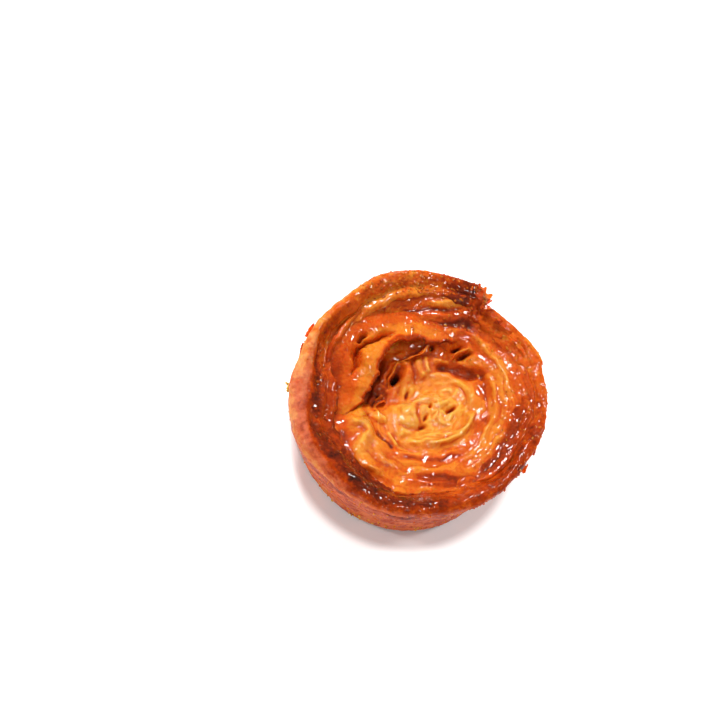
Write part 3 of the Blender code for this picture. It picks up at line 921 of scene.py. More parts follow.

# %% [markdown]
# ## Folds, creases and lumps
# On the dish lie the folds. Each is a curve through a few places, with a height (negative for a
# crease), a steep front on its right-hand side and a long back on its left-hand side, so one
# formula makes sheet edges, ridges and creases. Lumps are low domes with painted shade round their rims.

# %% List the folds
Fold = namedtuple("Fold", "rise front back bake caramel points")
FOLDS = (
    # the curl in the middle: the last turn closes on itself
    Fold(1.5, 0.8, 2.6, 0.00, 0.3, ((6.0, 9.6), (13.4, 8.9), (18.2, 5.0), (19.5, -0.6), (18.0, -7.6),
                                    (13.2, -13.6), (5.0, -17.0), (-4.0, -17.2))),
    Fold(1.0, 0.5, 1.0, -0.09, 0.3, ((9.0, 6.6), (14.4, 7.4), (17.6, 4.2), (18.4, 0.2), (16.8, -3.0),
                                     (14.4, -3.8))),
    Fold(1.0, 0.5, 1.0, -0.09, 0.3, ((14.8, 6.0), (14.2, 3.0), (11.6, 0.0), (8.0, -1.8), (5.6, -2.2))),
    Fold(1.0, 0.5, 1.2, -0.10, 0.3, ((17.0, -3.2), (18.0, -6.4), (17.4, -9.4), (12.6, -11.4), (6.0, -13.0),
                                     (-1.5, -13.0))),
    Fold(0.8, 0.5, 1.0, -0.08, 0.3, ((15.0, -11.8), (9.6, -14.4), (3.4, -15.2), (-3.6, -15.0))),
    Fold(0.8, 0.5, 0.9, -0.07, 0.2, ((8.6, 4.4), (12.2, 4.6), (13.4, 2.4), (10.2, 0.8))),
    Fold(0.7, 0.5, 0.9, -0.06, 0.2, ((6.8, -4.4), (9.2, -8.0), (13.6, -8.6))),
    Fold(-1.1, 0.9, 0.9, 0.10, 0.3, ((1.6, -0.6), (0.8, -4.6), (2.0, -9.4))),
    Fold(-0.7, 0.7, 0.7, 0.06, 0.3, ((-6.5, -9.8), (-1.5, -10.8), (2.2, -10.6))),
    Fold(1.2, 0.6, 1.2, -0.12, 0.5, ((-9.4, -11.4), (-8.2, -14.6), (-6.0, -17.6))),
    Fold(-1.3, 0.9, 0.8, 0.20, 0.4, ((-12.8, -11.4), (-10.8, -15.4), (-7.6, -18.6))),
    # the front: a red line, a broad band, a dark caramel line
    Fold(0.8, 0.6, 2.6, 0.00, 0.4, ((18.6, -17.4), (12.5, -19.4), (4.5, -19.7), (-2.4, -20.0), (-8.6, -19.4))),
    Fold(-0.45, 0.8, 0.8, 0.16, 0.4, ((17.0, -20.0), (9.0, -21.8), (0.0, -21.6), (-6.0, -21.2))),
    Fold(0.6, 0.9, 3.5, -0.05, 0.2, ((16.0, -24.4), (6.5, -25.6), (-3.0, -25.8))),
    Fold(-0.5, 1.3, 1.6, 0.08, 0.5, ((21.0, -27.6), (15.0, -28.6), (6.3, -28.6), (-2.5, -29.6))),
    Fold(0.5, 0.7, 1.0, 0.06, 0.6, ((14.0, -30.6), (5.0, -31.2), (-4.0, -31.4))),
    # the front left fold, from the lip to the middle
    Fold(1.7, 1.4, 2.6, -0.08, 0.2, ((-27.0, -9.0), (-20.5, -10.0), (-17.4, -12.8), (-19.6, -17.0),
                                     (-20.2, -22.0), (-16.6, -27.0), (-9.0, -29.6))),
    Fold(-0.9, 1.4, 1.6, 0.06, 0.4, ((-27.6, -13.0), (-24.2, -16.4), (-23.4, -21.4), (-19.6, -27.6),
                                     (-12.0, -32.2))),
    Fold(0.8, 0.8, 1.6, -0.04, 0.3, ((-13.4, -14.6), (-14.4, -19.4), (-11.6, -23.8), (-5.0, -26.0))),
    # the right band: a low crest, a groove along the hollow, a red valley by the edge
    Fold(0.8, 2.6, 3.2, -0.04, 0.1, ((20.0, 26.0), (27.6, 15.0), (30.8, 3.0), (29.6, -10.0), (24.0, -20.4))),
    Fold(-0.5, 0.9, 1.4, 0.10, 0.3, ((22.4, 11.0), (23.6, 4.0), (23.2, -4.0), (20.6, -11.4))),
    Fold(0.6, 0.5, 1.4, -0.04, 0.3, ((25.0, 8.4), (26.6, 0.6), (26.0, -7.4), (22.8, -14.8))),
    Fold(0.5, 0.5, 1.2, -0.02, 0.3, ((30.4, 10.0), (32.4, 2.0), (31.6, -6.0))),
    Fold(-0.45, 2.0, 2.4, 0.04, 0.5, ((35.4, -2.0), (34.2, -9.6), (31.4, -16.0), (27.0, -23.0),
                                      (20.0, -28.8))),
    # the back: stacked sheets between the lip and the hollow
    Fold(0.9, 0.6, 1.6, 0.00, 0.5, ((16.0, 37.0), (9.0, 38.4), (1.0, 38.0), (-7.0, 36.2))),
    Fold(0.9, 0.6, 1.8, -0.05, 0.3, ((16.6, 34.8), (11.0, 35.0), (3.4, 34.0))),
    Fold(-0.7, 0.7, 0.9, 0.12, 0.6, ((16.0, 32.8), (9.0, 32.4), (0.0, 31.8), (-5.0, 31.2))),
    Fold(0.8, 0.6, 1.6, 0.02, 0.6, ((21.0, 28.6), (14.4, 30.0), (6.0, 29.8), (-2.0, 29.8))),
    Fold(-0.8, 0.9, 1.2, 0.16, 0.5, ((22.0, 27.0), (15.6, 27.8), (8.0, 27.2), (1.0, 27.4))),
    Fold(0.8, 0.6, 2.0, -0.06, 0.4, ((24.4, 21.4), (18.6, 25.0), (11.4, 25.2), (4.0, 25.2))),
    Fold(0.9, 0.6, 1.2, 0.04, 0.6, ((21.0, 22.0), (15.8, 22.6), (10.4, 21.6), (5.6, 20.8))),
    # drapes that hang into the hollow
    Fold(2.8, 1.6, 3.0, -0.04, 0.3, ((-3.8, 16.0), (-2.6, 12.0), (-3.2, 8.0), (-2.4, 4.0), (-0.6, 1.6))),
    Fold(1.9, 0.9, 1.3, -0.08, 0.3, ((0.6, 16.8), (1.6, 12.8), (2.6, 10.4), (4.2, 8.8))),
    Fold(1.4, 0.7, 1.0, -0.08, 0.3, ((3.4, 16.6), (4.4, 13.0), (5.6, 10.6))),
    Fold(-0.5, 0.6, 0.6, 0.06, 0.3, ((-0.8, 15.6), (-0.2, 11.6), (0.6, 8.6), (1.0, 5.0))),
    Fold(-1.4, 2.0, 2.2, 0.06, 0.0, ((7.0, 13.2), (12.0, 12.6), (17.0, 11.6), (21.6, 9.4), (24.4, 7.0))),
    Fold(-0.5, 1.2, 1.6, 0.08, 0.2, ((21.0, 8.0), (22.6, 4.0), (22.6, -1.0))),
    # films on the floor of the hollow
    Fold(1.5, 0.8, 1.8, 0.14, 0.5, ((-1.0, 18.6), (-7.6, 15.4), (-10.6, 10.0), (-11.4, 4.0))),
    Fold(1.2, 0.7, 1.2, 0.10, 0.5, ((-4.4, 15.0), (-8.6, 11.0), (-10.0, 5.5))),
    Fold(1.1, 0.5, 0.8, 0.06, 0.5, ((-12.4, 7.0), (-13.6, 1.0), (-15.4, -4.6))),
    Fold(1.0, 0.5, 0.8, -0.10, 0.5, ((-10.6, 2.0), (-12.8, -2.6), (-12.2, -6.6))),
    Fold(1.0, 0.5, 1.0, -0.10, 0.5, ((12.8, 15.6), (9.2, 15.4), (5.8, 15.2))),
    Fold(0.9, 0.5, 1.4, -0.10, 0.5, ((13.6, 11.2), (9.6, 10.9), (5.8, 10.0))),
    Fold(1.1, 0.45, 0.7, -0.16, 0.5, ((19.4, 18.6), (16.2, 18.0), (13.2, 16.2))),
)
Lump = namedtuple("Lump", "x y wide long turn rise bake")
LUMPS = (
    Lump(5.0, -7.5, 14.5, 9.5, 8, 1.5, -0.05),  # the pale middle as a whole
    Lump(-4.6, -7.4, 6.2, 6.0, 20, 1.3, -0.03),  # its left lump
    Lump(12.2, -2.6, 6.6, 8.4, -12, 0.9, -0.02),  # its curl
    Lump(-1.6, -3.6, 3.0, 2.4, 30, 0.8, 0.0),
    Lump(5.0, 1.0, 4.0, 2.6, 20, 0.9, 0.05),
    Lump(3.2, -15.2, 8.0, 2.2, 2, 0.6, -0.02),
    Lump(-15.0, 0.0, 3.4, 2.4, 60, 1.2, 0.04),  # crumpled floor of the hollow
    Lump(-17.4, -5.0, 4.6, 2.4, 20, 1.6, -0.05),
    Lump(-12.0, -7.4, 3.4, 2.0, -30, 1.4, -0.10),
    Lump(-13.0, 1.0, 5.0, 5.0, 40, -1.0, 0.16),  # the deepest part of the hollow
)
# Narrow openings between layers: place, half length, turn in degrees, half width, depth.
Slit = namedtuple("Slit", "x y long turn wide deep")
SLITS = (
    Slit(12.4, -3.4, 2.4, 38, 0.60, 3.3), Slit(3.6, -6.6, 1.3, 55, 0.50, 2.7),
    Slit(2.3, -9.6, 1.3, 15, 0.85, 3.3), Slit(5.4, -2.6, 0.7, 60, 0.45, 2.1),
    Slit(5.8, 19.2, 1.0, 60, 0.80, 3.6), Slit(15.0, 19.5, 2.1, 5, 0.70, 3.3),
    Slit(17.8, 17.0, 2.4, 10, 1.00, 3.6), Slit(-6.4, 8.0, 1.6, 75, 0.9, 3.9),
    Slit(-1.9, 2.2, 1.5, 75, 0.6, 2.7),
)
Patch = namedtuple("Patch", "x y wide long turn bake caramel calm")
PATCHES = (
    Patch(18.4, 11.0, 6.8, 3.6, -8, 0.40, -0.20, 1.0),  # the amber scoop behind the curl
    Patch(11.0, 12.8, 8.0, 3.4, 5, 0.16, -0.1, 0.8),
    Patch(-2.0, 10.0, 7.0, 8.0, 0, 0.19, 0.1, 0.5),  # the drapes
    Patch(5.0, 19.0, 19.0, 5.5, 5, 0.09, 0.0, 0.0),  # behind the leaf's far edge
    Patch(16.0, 28.0, 10.0, 4.0, -25, 0.12, 0.0, 0.0),
    Patch(-4.0, 35.4, 15.0, 3.6, 2, 0.04, 0.0, 0.2),  # the glowing layer at the back
    Patch(9.8, 34.4, 9.5, 2.8, 0, -0.10, -0.1, 0.0),  # the pale lens
    Patch(33.8, -10.0, 5.5, 13.0, -15, 0.20, -0.15, 0.3),  # the red valley at the right
    Patch(37.0, 6.0, 5.0, 16.0, 15, 0.08, 0.0, 0.0),
    Patch(31.0, 18.0, 8.0, 6.0, -35, 0.12, -0.15, 0.0),
    Patch(27.5, -22.5, 9.0, 5.0, 50, 0.10, 0.2, 0.0),
    Patch(9.0, -30.5, 15.0, 3.4, 5, 0.15, 0.3, 0.0),  # caramel at the front
    Patch(-15.0, 5.0, 11.0, 14.0, -30, 0.22, 0.0, 0.0),
    Patch(-27.0, -9.0, 5.0, 5.0, 0, 0.14, 0.4, 0.5),
    Patch(-24.5, -22.5, 3.4, 11.0, 28, 0.18, 0.3, 0.8),  # the orange valley inside the lip
    Patch(-18.5, -19.0, 3.5, 6.0, 20, -0.02, 0.0, 0.2),
)
print(len(FOLDS), "folds,", len(LUMPS), "lumps,", len(SLITS), "slits,", len(PATCHES), "patches")

# %% Work out the face
CURL = (8.5, -3.5)  # where the last turn closes on itself
FLOW_LENGTH = 26.0  # radius that stands for the way round in the noise along the layers
DEEP_CREASE = -0.6  # a crease lower than this lies in shadow
PALEST_BAKE = 0.19


def fold_distance(points, x, y):
    """Distance to a curve, positive on its left, and the share of its length, at places in mm."""
    knots = np.array(points, float)
    at = np.linspace(0, len(knots) - 1, 6 * len(knots))
    path = np.stack([curve_through(list(enumerate(knots[:, axis])), at) for axis in (0, 1)], 1)
    best = np.full(x.shape, np.inf)
    away, share = np.zeros(x.shape), np.zeros(x.shape)
    for index, (begin, end) in enumerate(zip(path, path[1:])):
        run = end - begin
        dx, dy = x - begin[0], y - begin[1]
        t = np.clip((dx * run[0] + dy * run[1]) / (run @ run), 0.0, 1.0)
        gap = (dx - t * run[0]) ** 2 + (dy - t * run[1]) ** 2
        closer = gap < best
        best = np.where(closer, gap, best)
        away = np.where(closer, np.sign(run[0] * dy - run[1] * dx) * np.sqrt(gap), away)
        share = np.where(closer, (index + t) / (len(path) - 1), share)
    return away, share


def along_and_across(item, x, y):
    """Places seen from a lump, patch or slit: mm along its own turn, and mm across it."""
    turn = math.radians(item.turn)
    dx, dy = x - item.x, y - item.y
    return dx * math.cos(turn) + dy * math.sin(turn), -dx * math.sin(turn) + dy * math.cos(turn)


def in_ellipse(item, x, y):
    """Squared distance from a lump's or patch's middle, 1 at its rim."""
    along, across = along_and_across(item, x, y)
    return (along / item.wide) ** 2 + (across / item.long) ** 2


def layer_place(x, y):
    """Distance from the off-centre curl and the way round it: the layers' own coordinates."""
    pull = 1.0 - ease((np.hypot(x, y) - 6.0) / 28.0)
    dx, dy = x - CURL[0] * pull, y - CURL[1] * pull
    return np.hypot(dx, dy), np.arctan2(dy, dx)


def layer_noise(x, y, across, along, seed):
    """Noise drawn out along the layers: across and along are the sizes of its lumps in mm."""
    away, turn = layer_place(x, y)
    reach = FLOW_LENGTH * across / along
    return noise(away, reach * np.cos(turn), reach * np.sin(turn), across, seed)


def plain_face(x, y):
    """The dish before its folds, with places bent a little so that nothing on it runs straight."""
    radius, angle = polar(x, y)
    away, _ = layer_place(x, y)
    bend = 0.4 + 0.5 * ease((away - 10.0) / 10.0)
    bent_x = x + bend * (noise(x, y, 0.0, 7.0, 31) + 0.5 * noise(x, y, 0.0, 2.6, 32))
    bent_y = y + bend * (noise(x, y, 5.0, 7.0, 33) + 0.5 * noise(x, y, 5.0, 2.6, 34))
    bake = 0.20 + 0.16 * ease((away - 12.0) / 8.0) + 0.06 * ease((away - 26.0) / 12.0)
    bake = bake + 0.06 * bump(angle, 75.0, 60.0) * ease((radius - 16.0) / 8.0)
    bake = bake + 0.12 * bump(angle, 137.0, 34.0) * ease((radius - 33.0) / 1.5)
    bake = bake + 0.18 * bump(angle, -28.0, 48.0) * ease((radius - 30.0) / 6.0)
    return SimpleNamespace(
        x=x, y=y, bent_x=bent_x, bent_y=bent_y, middle=1.0 - ease((away - 15.0) / 7.0),
        height=dish_height(radius, angle), bake=bake, caramel=np.full(x.shape, 0.50),
        painted_shade=np.zeros(x.shape), calm=np.zeros(x.shape),
    )


def add_lumps_and_patches(turns):
    """Low domes with a shadow at their rims, and places baked or glazed unlike the rest."""
    for lump in LUMPS:
        inside = in_ellipse(lump, turns.bent_x, turns.bent_y)
        rim = np.exp(-((np.sqrt(inside) - 1.02) * (lump.wide + lump.long) / 1.2) ** 2)
        turns.height = turns.height + lump.rise * np.sqrt(np.clip(1.0 - inside, 0.0, 1.0))
        turns.bake = turns.bake + lump.bake * (1.0 - ease(inside))
        turns.painted_shade = turns.painted_shade + 0.05 * rim
    for patch in PATCHES:
        share = 1.0 - ease(in_ellipse(patch, turns.bent_x, turns.bent_y))
        turns.bake = turns.bake + patch.bake * share
        turns.caramel = turns.caramel + patch.caramel * share
        turns.calm = np.maximum(turns.calm, patch.calm * share)


def add_folds(turns):
    """Sheet edges and creases, each with a shadow where the dough dips."""
    for fold in FOLDS:
        gap, share = fold_distance(fold.points, turns.bent_x, turns.bent_y)
        ends = ease(share / 0.18) * ease((1.0 - share) / 0.18)
        width = np.where(gap < 0, fold.front, fold.back)
        strength = ends * np.exp(-(gap / width) ** 2)
        strength = strength * (1.0 + 0.35 * noise(turns.x, turns.y, fold.rise * 9, 4.0, 35))
        turns.height = turns.height + fold.rise * strength
        # a fold's bake is partly painted light: raised folds with a negative bake get paler crests, partly as
        # painted highlight; creases with a positive bake get darker, partly as painted shade and partly as
        # pooled caramel
        turns.bake = turns.bake + fold.bake * ends * np.exp(-(gap / np.minimum(width, 2.2)) ** 2)
        turns.caramel = turns.caramel + fold.caramel * strength
        if fold.rise < DEEP_CREASE:
            turns.painted_shade = turns.painted_shade + 0.22 * strength
        elif fold.rise > 0:  # a shadow line in front of the raised edge
            front = np.exp(-((gap + 1.5 * fold.front) / (0.7 * fold.front)) ** 2)
            turns.painted_shade = turns.painted_shade + 0.06 * ends * front


def add_glazed_wrinkles(turns):
    """Pillows, wrinkles and strands along the layers, and blisters and grit between them."""
    x, y, bent_x, bent_y, middle = turns.x, turns.y, turns.bent_x, turns.bent_y, turns.middle
    streaks = layer_noise(bent_x, bent_y, 0.75, 5.0, 48)
    swell = layer_noise(bent_x, bent_y, 3.0, 13.0, 49)
    pillows = np.sqrt(layer_noise(bent_x, bent_y, 2.8, 15.0, 41) ** 2 + 0.006)
    wrinkles = np.exp(-(layer_noise(bent_x, bent_y, 1.9, 12.0, 42) / 0.20) ** 2)
    wrinkles = wrinkles * ease(noise(x, y, 0.0, 5.0, 43) * 2.0 + 0.4)
    strands = layer_noise(bent_x, bent_y, 0.9, 7.0, 44)
    crumple = layered_noise(x, y, 0.0, 3.4, 2, 45)
    blisters = domes(x, y, 0.0, 1.9, 3) * ease(noise(x, y, 0.0, 5.0, 46) * 2.0 + 0.2)
    grit = layered_noise(bent_x, bent_y, 0.0, 1.4, 2, 47)
    relief = (0.45 - 0.30 * middle) * pillows + 0.36 * wrinkles + 0.28 * strands
    relief = relief + 0.20 * crumple + (0.24 * blisters + 0.12 * grit) * (1.0 - 0.6 * middle)
    relief = relief + (0.2 + 0.5 * middle) * swell + 0.24 * layer_noise(bent_x, bent_y, 1.7, 9.0, 50)
    creases = np.exp(-(pillows / 0.22) ** 2) * (1.0 - turns.calm) * (1.0 - 0.7 * middle)
    turns.height = turns.height + relief * (1.0 - turns.calm)
    # painted shade: the creases between the pillows are painted darker and given painted shade
    turns.bake = turns.bake + 0.06 * creases - 0.04 * wrinkles + 0.05 * crumple
    turns.bake = turns.bake + 0.05 * strands + 0.04 * swell
    turns.painted_shade = turns.painted_shade + 0.08 * creases
    turns.caramel = turns.caramel + 0.20 * streaks + 0.15 * middle


def open_slits(turns):
    """Narrow openings between the layers, sunk and darkened with painted shade."""
    for slit in SLITS:
        along, across = along_and_across(slit, turns.bent_x, turns.bent_y)
        depth = np.exp(-((across / slit.wide) ** 2) - (along / slit.long) ** 2)
        turns.height = turns.height - slit.deep * depth
        turns.painted_shade = turns.painted_shade + 0.5 * depth


def face_relief(x, y):
    """Height above the lip's plane and the material's numbers, at places on the face in mm."""
    turns = plain_face(x, y)
    add_lumps_and_patches(turns)
    add_folds(turns)
    add_glazed_wrinkles(turns)
    open_slits(turns)
    # painted shade: the deepest places are painted darker and given more painted shade
    deep = ease((-turns.height - 12.5) / 4.0)
    bake = np.maximum(turns.bake, PALEST_BAKE) + 0.12 * deep
    painted_shade = np.clip(0.75 * (turns.painted_shade + 0.25 * deep), 0, 0.5)
    return turns.height, bake, np.clip(turns.caramel, 0, 1), painted_shade


print("depth of the middle", round(float(-face_relief(np.array([0.0]), np.array([0.0]))[0][0]), 1), "mm")

# %% Build the inner turns
FACE_RADIUS = 41.5
FACE_STEP = 0.27
FACE_FOOT = 14.0  # height of the hidden underside
FACE_NARROWING = 0.78  # the underside's radius, as a share of the face's
GLAZE_FILL = 0.45  # mm: relief finer than this is filled by the glaze


def build_face():
    """A fine disc with a closed underside."""
    start()
    count = int(2 * FACE_RADIUS / FACE_STEP)
    bpy.ops.mesh.primitive_grid_add(x_subdivisions=count, y_subdivisions=count, size=2 * FACE_RADIUS * MM,
                                    location=(0, 0, LIP_HEIGHT * MM))
    face = bpy.context.object
    bpy.ops.object.transform_apply(location=True, rotation=True, scale=True)
    mesh = face.data
    places = read_places(mesh)
    radius = np.hypot(places[:, 0], places[:, 1])
    bpy.ops.object.mode_set(mode="EDIT")
    bpy.ops.mesh.select_mode(type="VERT")
    bpy.ops.mesh.select_all(action="DESELECT")
    bpy.ops.object.mode_set(mode="OBJECT")
    mesh.vertices.foreach_set("select", radius > FACE_RADIUS)
    bpy.ops.object.mode_set(mode="EDIT")
    bpy.ops.mesh.delete(type="VERT")
    bpy.ops.mesh.select_all(action="SELECT")
    bpy.ops.mesh.region_to_loop()
    drop = (FACE_FOOT - LIP_HEIGHT) * MM
    bpy.ops.mesh.extrude_edges_move(TRANSFORM_OT_translate={"value": (0, 0, drop)})
    narrow = (FACE_NARROWING, FACE_NARROWING, 1.0)
    bpy.ops.transform.resize(value=narrow, center_override=(0, 0, FACE_FOOT * MM))
    bpy.ops.mesh.edge_face_add()
    turn_faces_out()
    return face


def blurred(heights, size):
    """Heights on the face's even grid, averaged over a soft window about size mm wide."""
    reach = int(round(size / FACE_STEP))
    window = np.hanning(2 * reach + 3)[1:-1]
    for axis in (0, 1):
        heights = np.apply_along_axis(np.convolve, axis, heights, window / window.sum(), "same")
    return heights


def face_values(x, y):
    """The relief and the material's numbers at each vertex: crests paler, partly as painted highlight, and
    valleys darker, partly as pooled caramel and partly as painted shade.
    """
    count = int(2 * FACE_RADIUS / FACE_STEP)
    steps = np.linspace(-FACE_RADIUS, FACE_RADIUS, count + 1)
    height, bake, caramel, painted_shade = face_relief(*np.meshgrid(steps, steps))
    proud = np.clip(height - blurred(height, 1.3), -0.6, 0.6)
    broad = np.clip(height - blurred(height, 4.0), -1.5, 1.5)
    bake = soft_limit(bake - 0.18 * proud - 0.06 * broad, 0.50, 0.70)
    painted_shade = painted_shade + np.clip(-0.3 * proud, 0.0, 0.2)
    height = blurred(height, GLAZE_FILL)
    column = np.round((x + FACE_RADIUS) / (steps[1] - steps[0])).astype(int)
    row = np.round((y + FACE_RADIUS) / (steps[1] - steps[0])).astype(int)
    column, row = np.clip(column, 0, count), np.clip(row, 0, count)
    return height[row, column], bake[row, column], caramel[row, column], painted_shade[row, column]


def shape_face(face):
    """Lifts the disc onto the turns, and sinks its rim under the lip."""
    mesh = face.data
    places = read_places(mesh)
    x, y, z = places.T
    radius, angle = polar(x, y)
    height, bake, caramel, painted_shade = face_values(x, y)
    top = z > (FACE_FOOT + LIP_HEIGHT) / 2
    edge = ease((radius - curve_round(EDGE_RADIUS, angle) - lip_wander(angle) + 1.0) / 2.6)
    tilt = lip_change(angle) * ease(radius / 40.0) - TURNS_SINK
    lifted = LIP_HEIGHT + height + tilt - (3.0 + 1.5 * ease(thickness_of_roll(angle))) * edge
    places[:, 2] = np.where(top, lifted, z)
    grow = 1.0 + outline_change(angle) * ease((radius - 25.0) / 18.0) / np.maximum(radius, 1.0)
    places[:, 0] = x * grow
    places[:, 1] = y * grow
    write_places(mesh, places)
    store_oven_numbers(mesh, bake, caramel, painted_shade)


face = build_face()
shape_face(face)
inner_turns = finish_piece(face, "inner_turns", face_dough)

# %% [markdown]
# ## The torn leaf
# At the upper left one wide leaf of dough leaves the lip with a thin raised edge, sinks to a ragged
# crack, rises again and hangs over the hollow with a free rolled edge. A height on a disc can't
# overhang, so the leaf is its own piece: a grid whose length follows the angle and whose width runs
# from the root by the lip to the free edge. Solidify gives it thickness, and a subdivision rounds it.

# %% Plan the leaf
LEAF_START, LEAF_SPAN = 44.0, 160.0
LEAF_THICKNESS = 1.5
# (angle, radius or depth) pairs along the leaf, joined by smooth curves
LEAF_ROOT = ((44, 31.5), (62, 33.0), (90, 35.0), (121, 35.4), (141, 33.4), (157, 33.2), (175, 32.4),
             (204, 33.5))
LEAF_ROOT_DEPTH = ((44, 7.0), (80, 8.0), (106, 8.2), (118, 6.6), (130, 5.2), (154, 5.2), (165, 7.6),
                   (204, 9.6))
LEAF_EDGE = ((44, 30.0), (56, 24.4), (65, 21.2), (78, 19.6), (90, 19.4), (102, 19.6), (113, 19.0), (126, 17.6),
             (138, 15.9), (152, 14.6), (164, 14.9), (178, 16.1), (190, 19.0), (197, 24.0), (204, 30.0))
LEAF_EDGE_DEPTH = ((44, 7.0), (80, 7.2), (100, 6.4), (140, 6.2), (160, 7.2), (178, 8.4), (192, 9.8),
                   (204, 10.4))
CRACK_RADIUS = ((108, 23.4), (120, 24.2), (132, 24.7), (142, 25.3), (149, 25.0), (156, 23.0))
CRACK_WIDTH = ((106, 0.4), (114, 1.0), (124, 0.8), (133, 0.55), (141, 0.8), (148, 1.6), (152, 1.7),
               (158, 0.5))
CRACK_DEPTH = 4.0
SLIT_RADIUS = 27.2
ROLL_WIDTH, ROLL_DROP = 1.6, 1.4  # the free edge rolls down


def crack_line(angle):
    """Radius at which the leaf sinks to its crack."""
    return curve_through(CRACK_RADIUS, np.clip(angle, 108, 156))


def leaf_crack(radius, angle):
    """1 in the crack of the leaf and in the short slit behind it, 0 on the sheet."""
    wander = 0.6 * noise(angle / 4.0, 1.0, 0.0, 1.0, 63)
    width = curve_through(CRACK_WIDTH, np.clip(angle, 106, 158))
    crack = np.exp(-((radius - crack_line(angle) - wander) / width) ** 2) * bump(angle, 136.0, 30.0) ** 0.3
    slit = np.exp(-((radius - SLIT_RADIUS - wander) / 0.55) ** 2) * ease(bump(angle, 135.0, 7.0) * 1.5)
    return np.maximum(crack, 0.8 * slit)


def leaf_places(along, across):
    """Where the leaf's upper side lies, in mm, for shares of its length and width from 0 to 1."""
    angle = LEAF_START + LEAF_SPAN * along
    ragged = 0.7 * noise(angle / 7.0, 0.0, 0.0, 1.0, 61) + 0.35 * noise(angle / 2.6, 0.0, 0.0, 1.0, 62)
    root = curve_through(LEAF_ROOT, angle) + 0.35 * noise(angle / 3.0, 3.0, 0.0, 1.0, 65)
    width = root - curve_through(LEAF_EDGE, angle) - ragged
    radius = root - width * across
    from_root = root - radius
    start_depth, end_depth = curve_through(LEAF_ROOT_DEPTH, angle), curve_through(LEAF_EDGE_DEPTH, angle)
    depth = start_depth + (end_depth - start_depth) * ease(across)
    # behind the thin raised edge the leaf dips, sinks to the crack and rises again
    raised = bump(angle, 139.0, 26.0) ** 0.5
    depth = depth + (1.5 * raised + 0.5) * ease(from_root / 1.3) * (1.0 - ease((from_root - 3.0) / 9.0))
    past_crack = radius - crack_line(angle)
    middle = bump(angle, 140.0, 60.0)
    depth = depth + 2.2 * middle * np.exp(-(past_crack / 3.0) ** 2)
    depth = depth - 0.9 * middle * np.exp(-((past_crack + 4.6) / 2.6) ** 2)
    roll = np.maximum(across * width - width + ROLL_WIDTH, 0.0) / ROLL_WIDTH
    depth = depth + ROLL_DROP * roll ** 2 - 0.4 * np.exp(-((roll - 0.2) / 0.3) ** 2)
    radius = radius + 0.5 * roll ** 3
    depth = depth + CRACK_DEPTH * leaf_crack(radius, angle)
    depth = depth + 0.45 * noise(angle / 9.0, across * 2.0, 0.0, 1.0, 64)
    a = np.radians(angle)
    height = LIP_HEIGHT - depth + lip_change(angle) * ease(radius / 40.0) - TURNS_SINK
    return np.stack([radius * np.cos(a), radius * np.sin(a), height], -1)


print("leaf from", LEAF_START, "to", LEAF_START + LEAF_SPAN, "degrees")

# %% Build the leaf
def build_strip(name, long_steps, wide_steps, thickness, place, levels=1):
    """A sheet from a grid whose corners run from 0 to 1 both ways, bent by place and thickened."""
    start()
    bpy.ops.mesh.primitive_grid_add(x_subdivisions=long_steps, y_subdivisions=wide_steps, size=1.0,
                                    location=(0.5, 0.5, 0.0))
    strip = bpy.context.object
    strip.name = name
    bpy.ops.object.transform_apply(location=True, rotation=True, scale=True)
    shares = read_places(strip.data) * MM
    store(strip.data, "along", shares[:, 0])
    store(strip.data, "across", shares[:, 1])
    write_places(strip.data, place(shares[:, 0], shares[:, 1]))
    apply_modifier(strip, "SOLIDIFY", thickness=thickness * MM, offset=-1.0, use_even_offset=False)
    if levels:
        smooth_levels(strip, levels)
    bpy.ops.object.mode_set(mode="EDIT")
    turn_faces_out()
    return strip


def leaf_bake(angle, across, radius, shaded_underside, crack):
    """The leaf's bake and caramel: it is darkest at its free edge, and its underside and crack are painted
    darker as painted shade.
    """
    root, free_edge = curve_through(LEAF_ROOT, angle), curve_through(LEAF_EDGE, angle)
    edge_width = 1.0 + 1.2 * bump(angle, 105.0, 30.0) - 0.6 * bump(angle, 168.0, 30.0)
    edge = 1.0 - ease(((1.0 - across) * (root - free_edge) - edge_width) / 1.8)
    thin_line = np.exp(-((root - radius - 0.2) / 0.4) ** 2) * bump(angle, 140.0, 24.0)
    outer = ease((radius - 25.0) / 4.0)
    back = bump(angle, 70.0, 42.0)
    bake = 0.31 + 0.19 * outer + 0.10 * back - 0.16 * thin_line + 0.34 * edge + 0.20 * shaded_underside + 0.14 * crack
    bake = bake + 0.20 * bump(angle, 172.0, 34.0) * ease((radius - 19.0) / 4.0)
    return bake, 0.48 + 0.04 * outer - 0.10 * edge + 0.10 * back


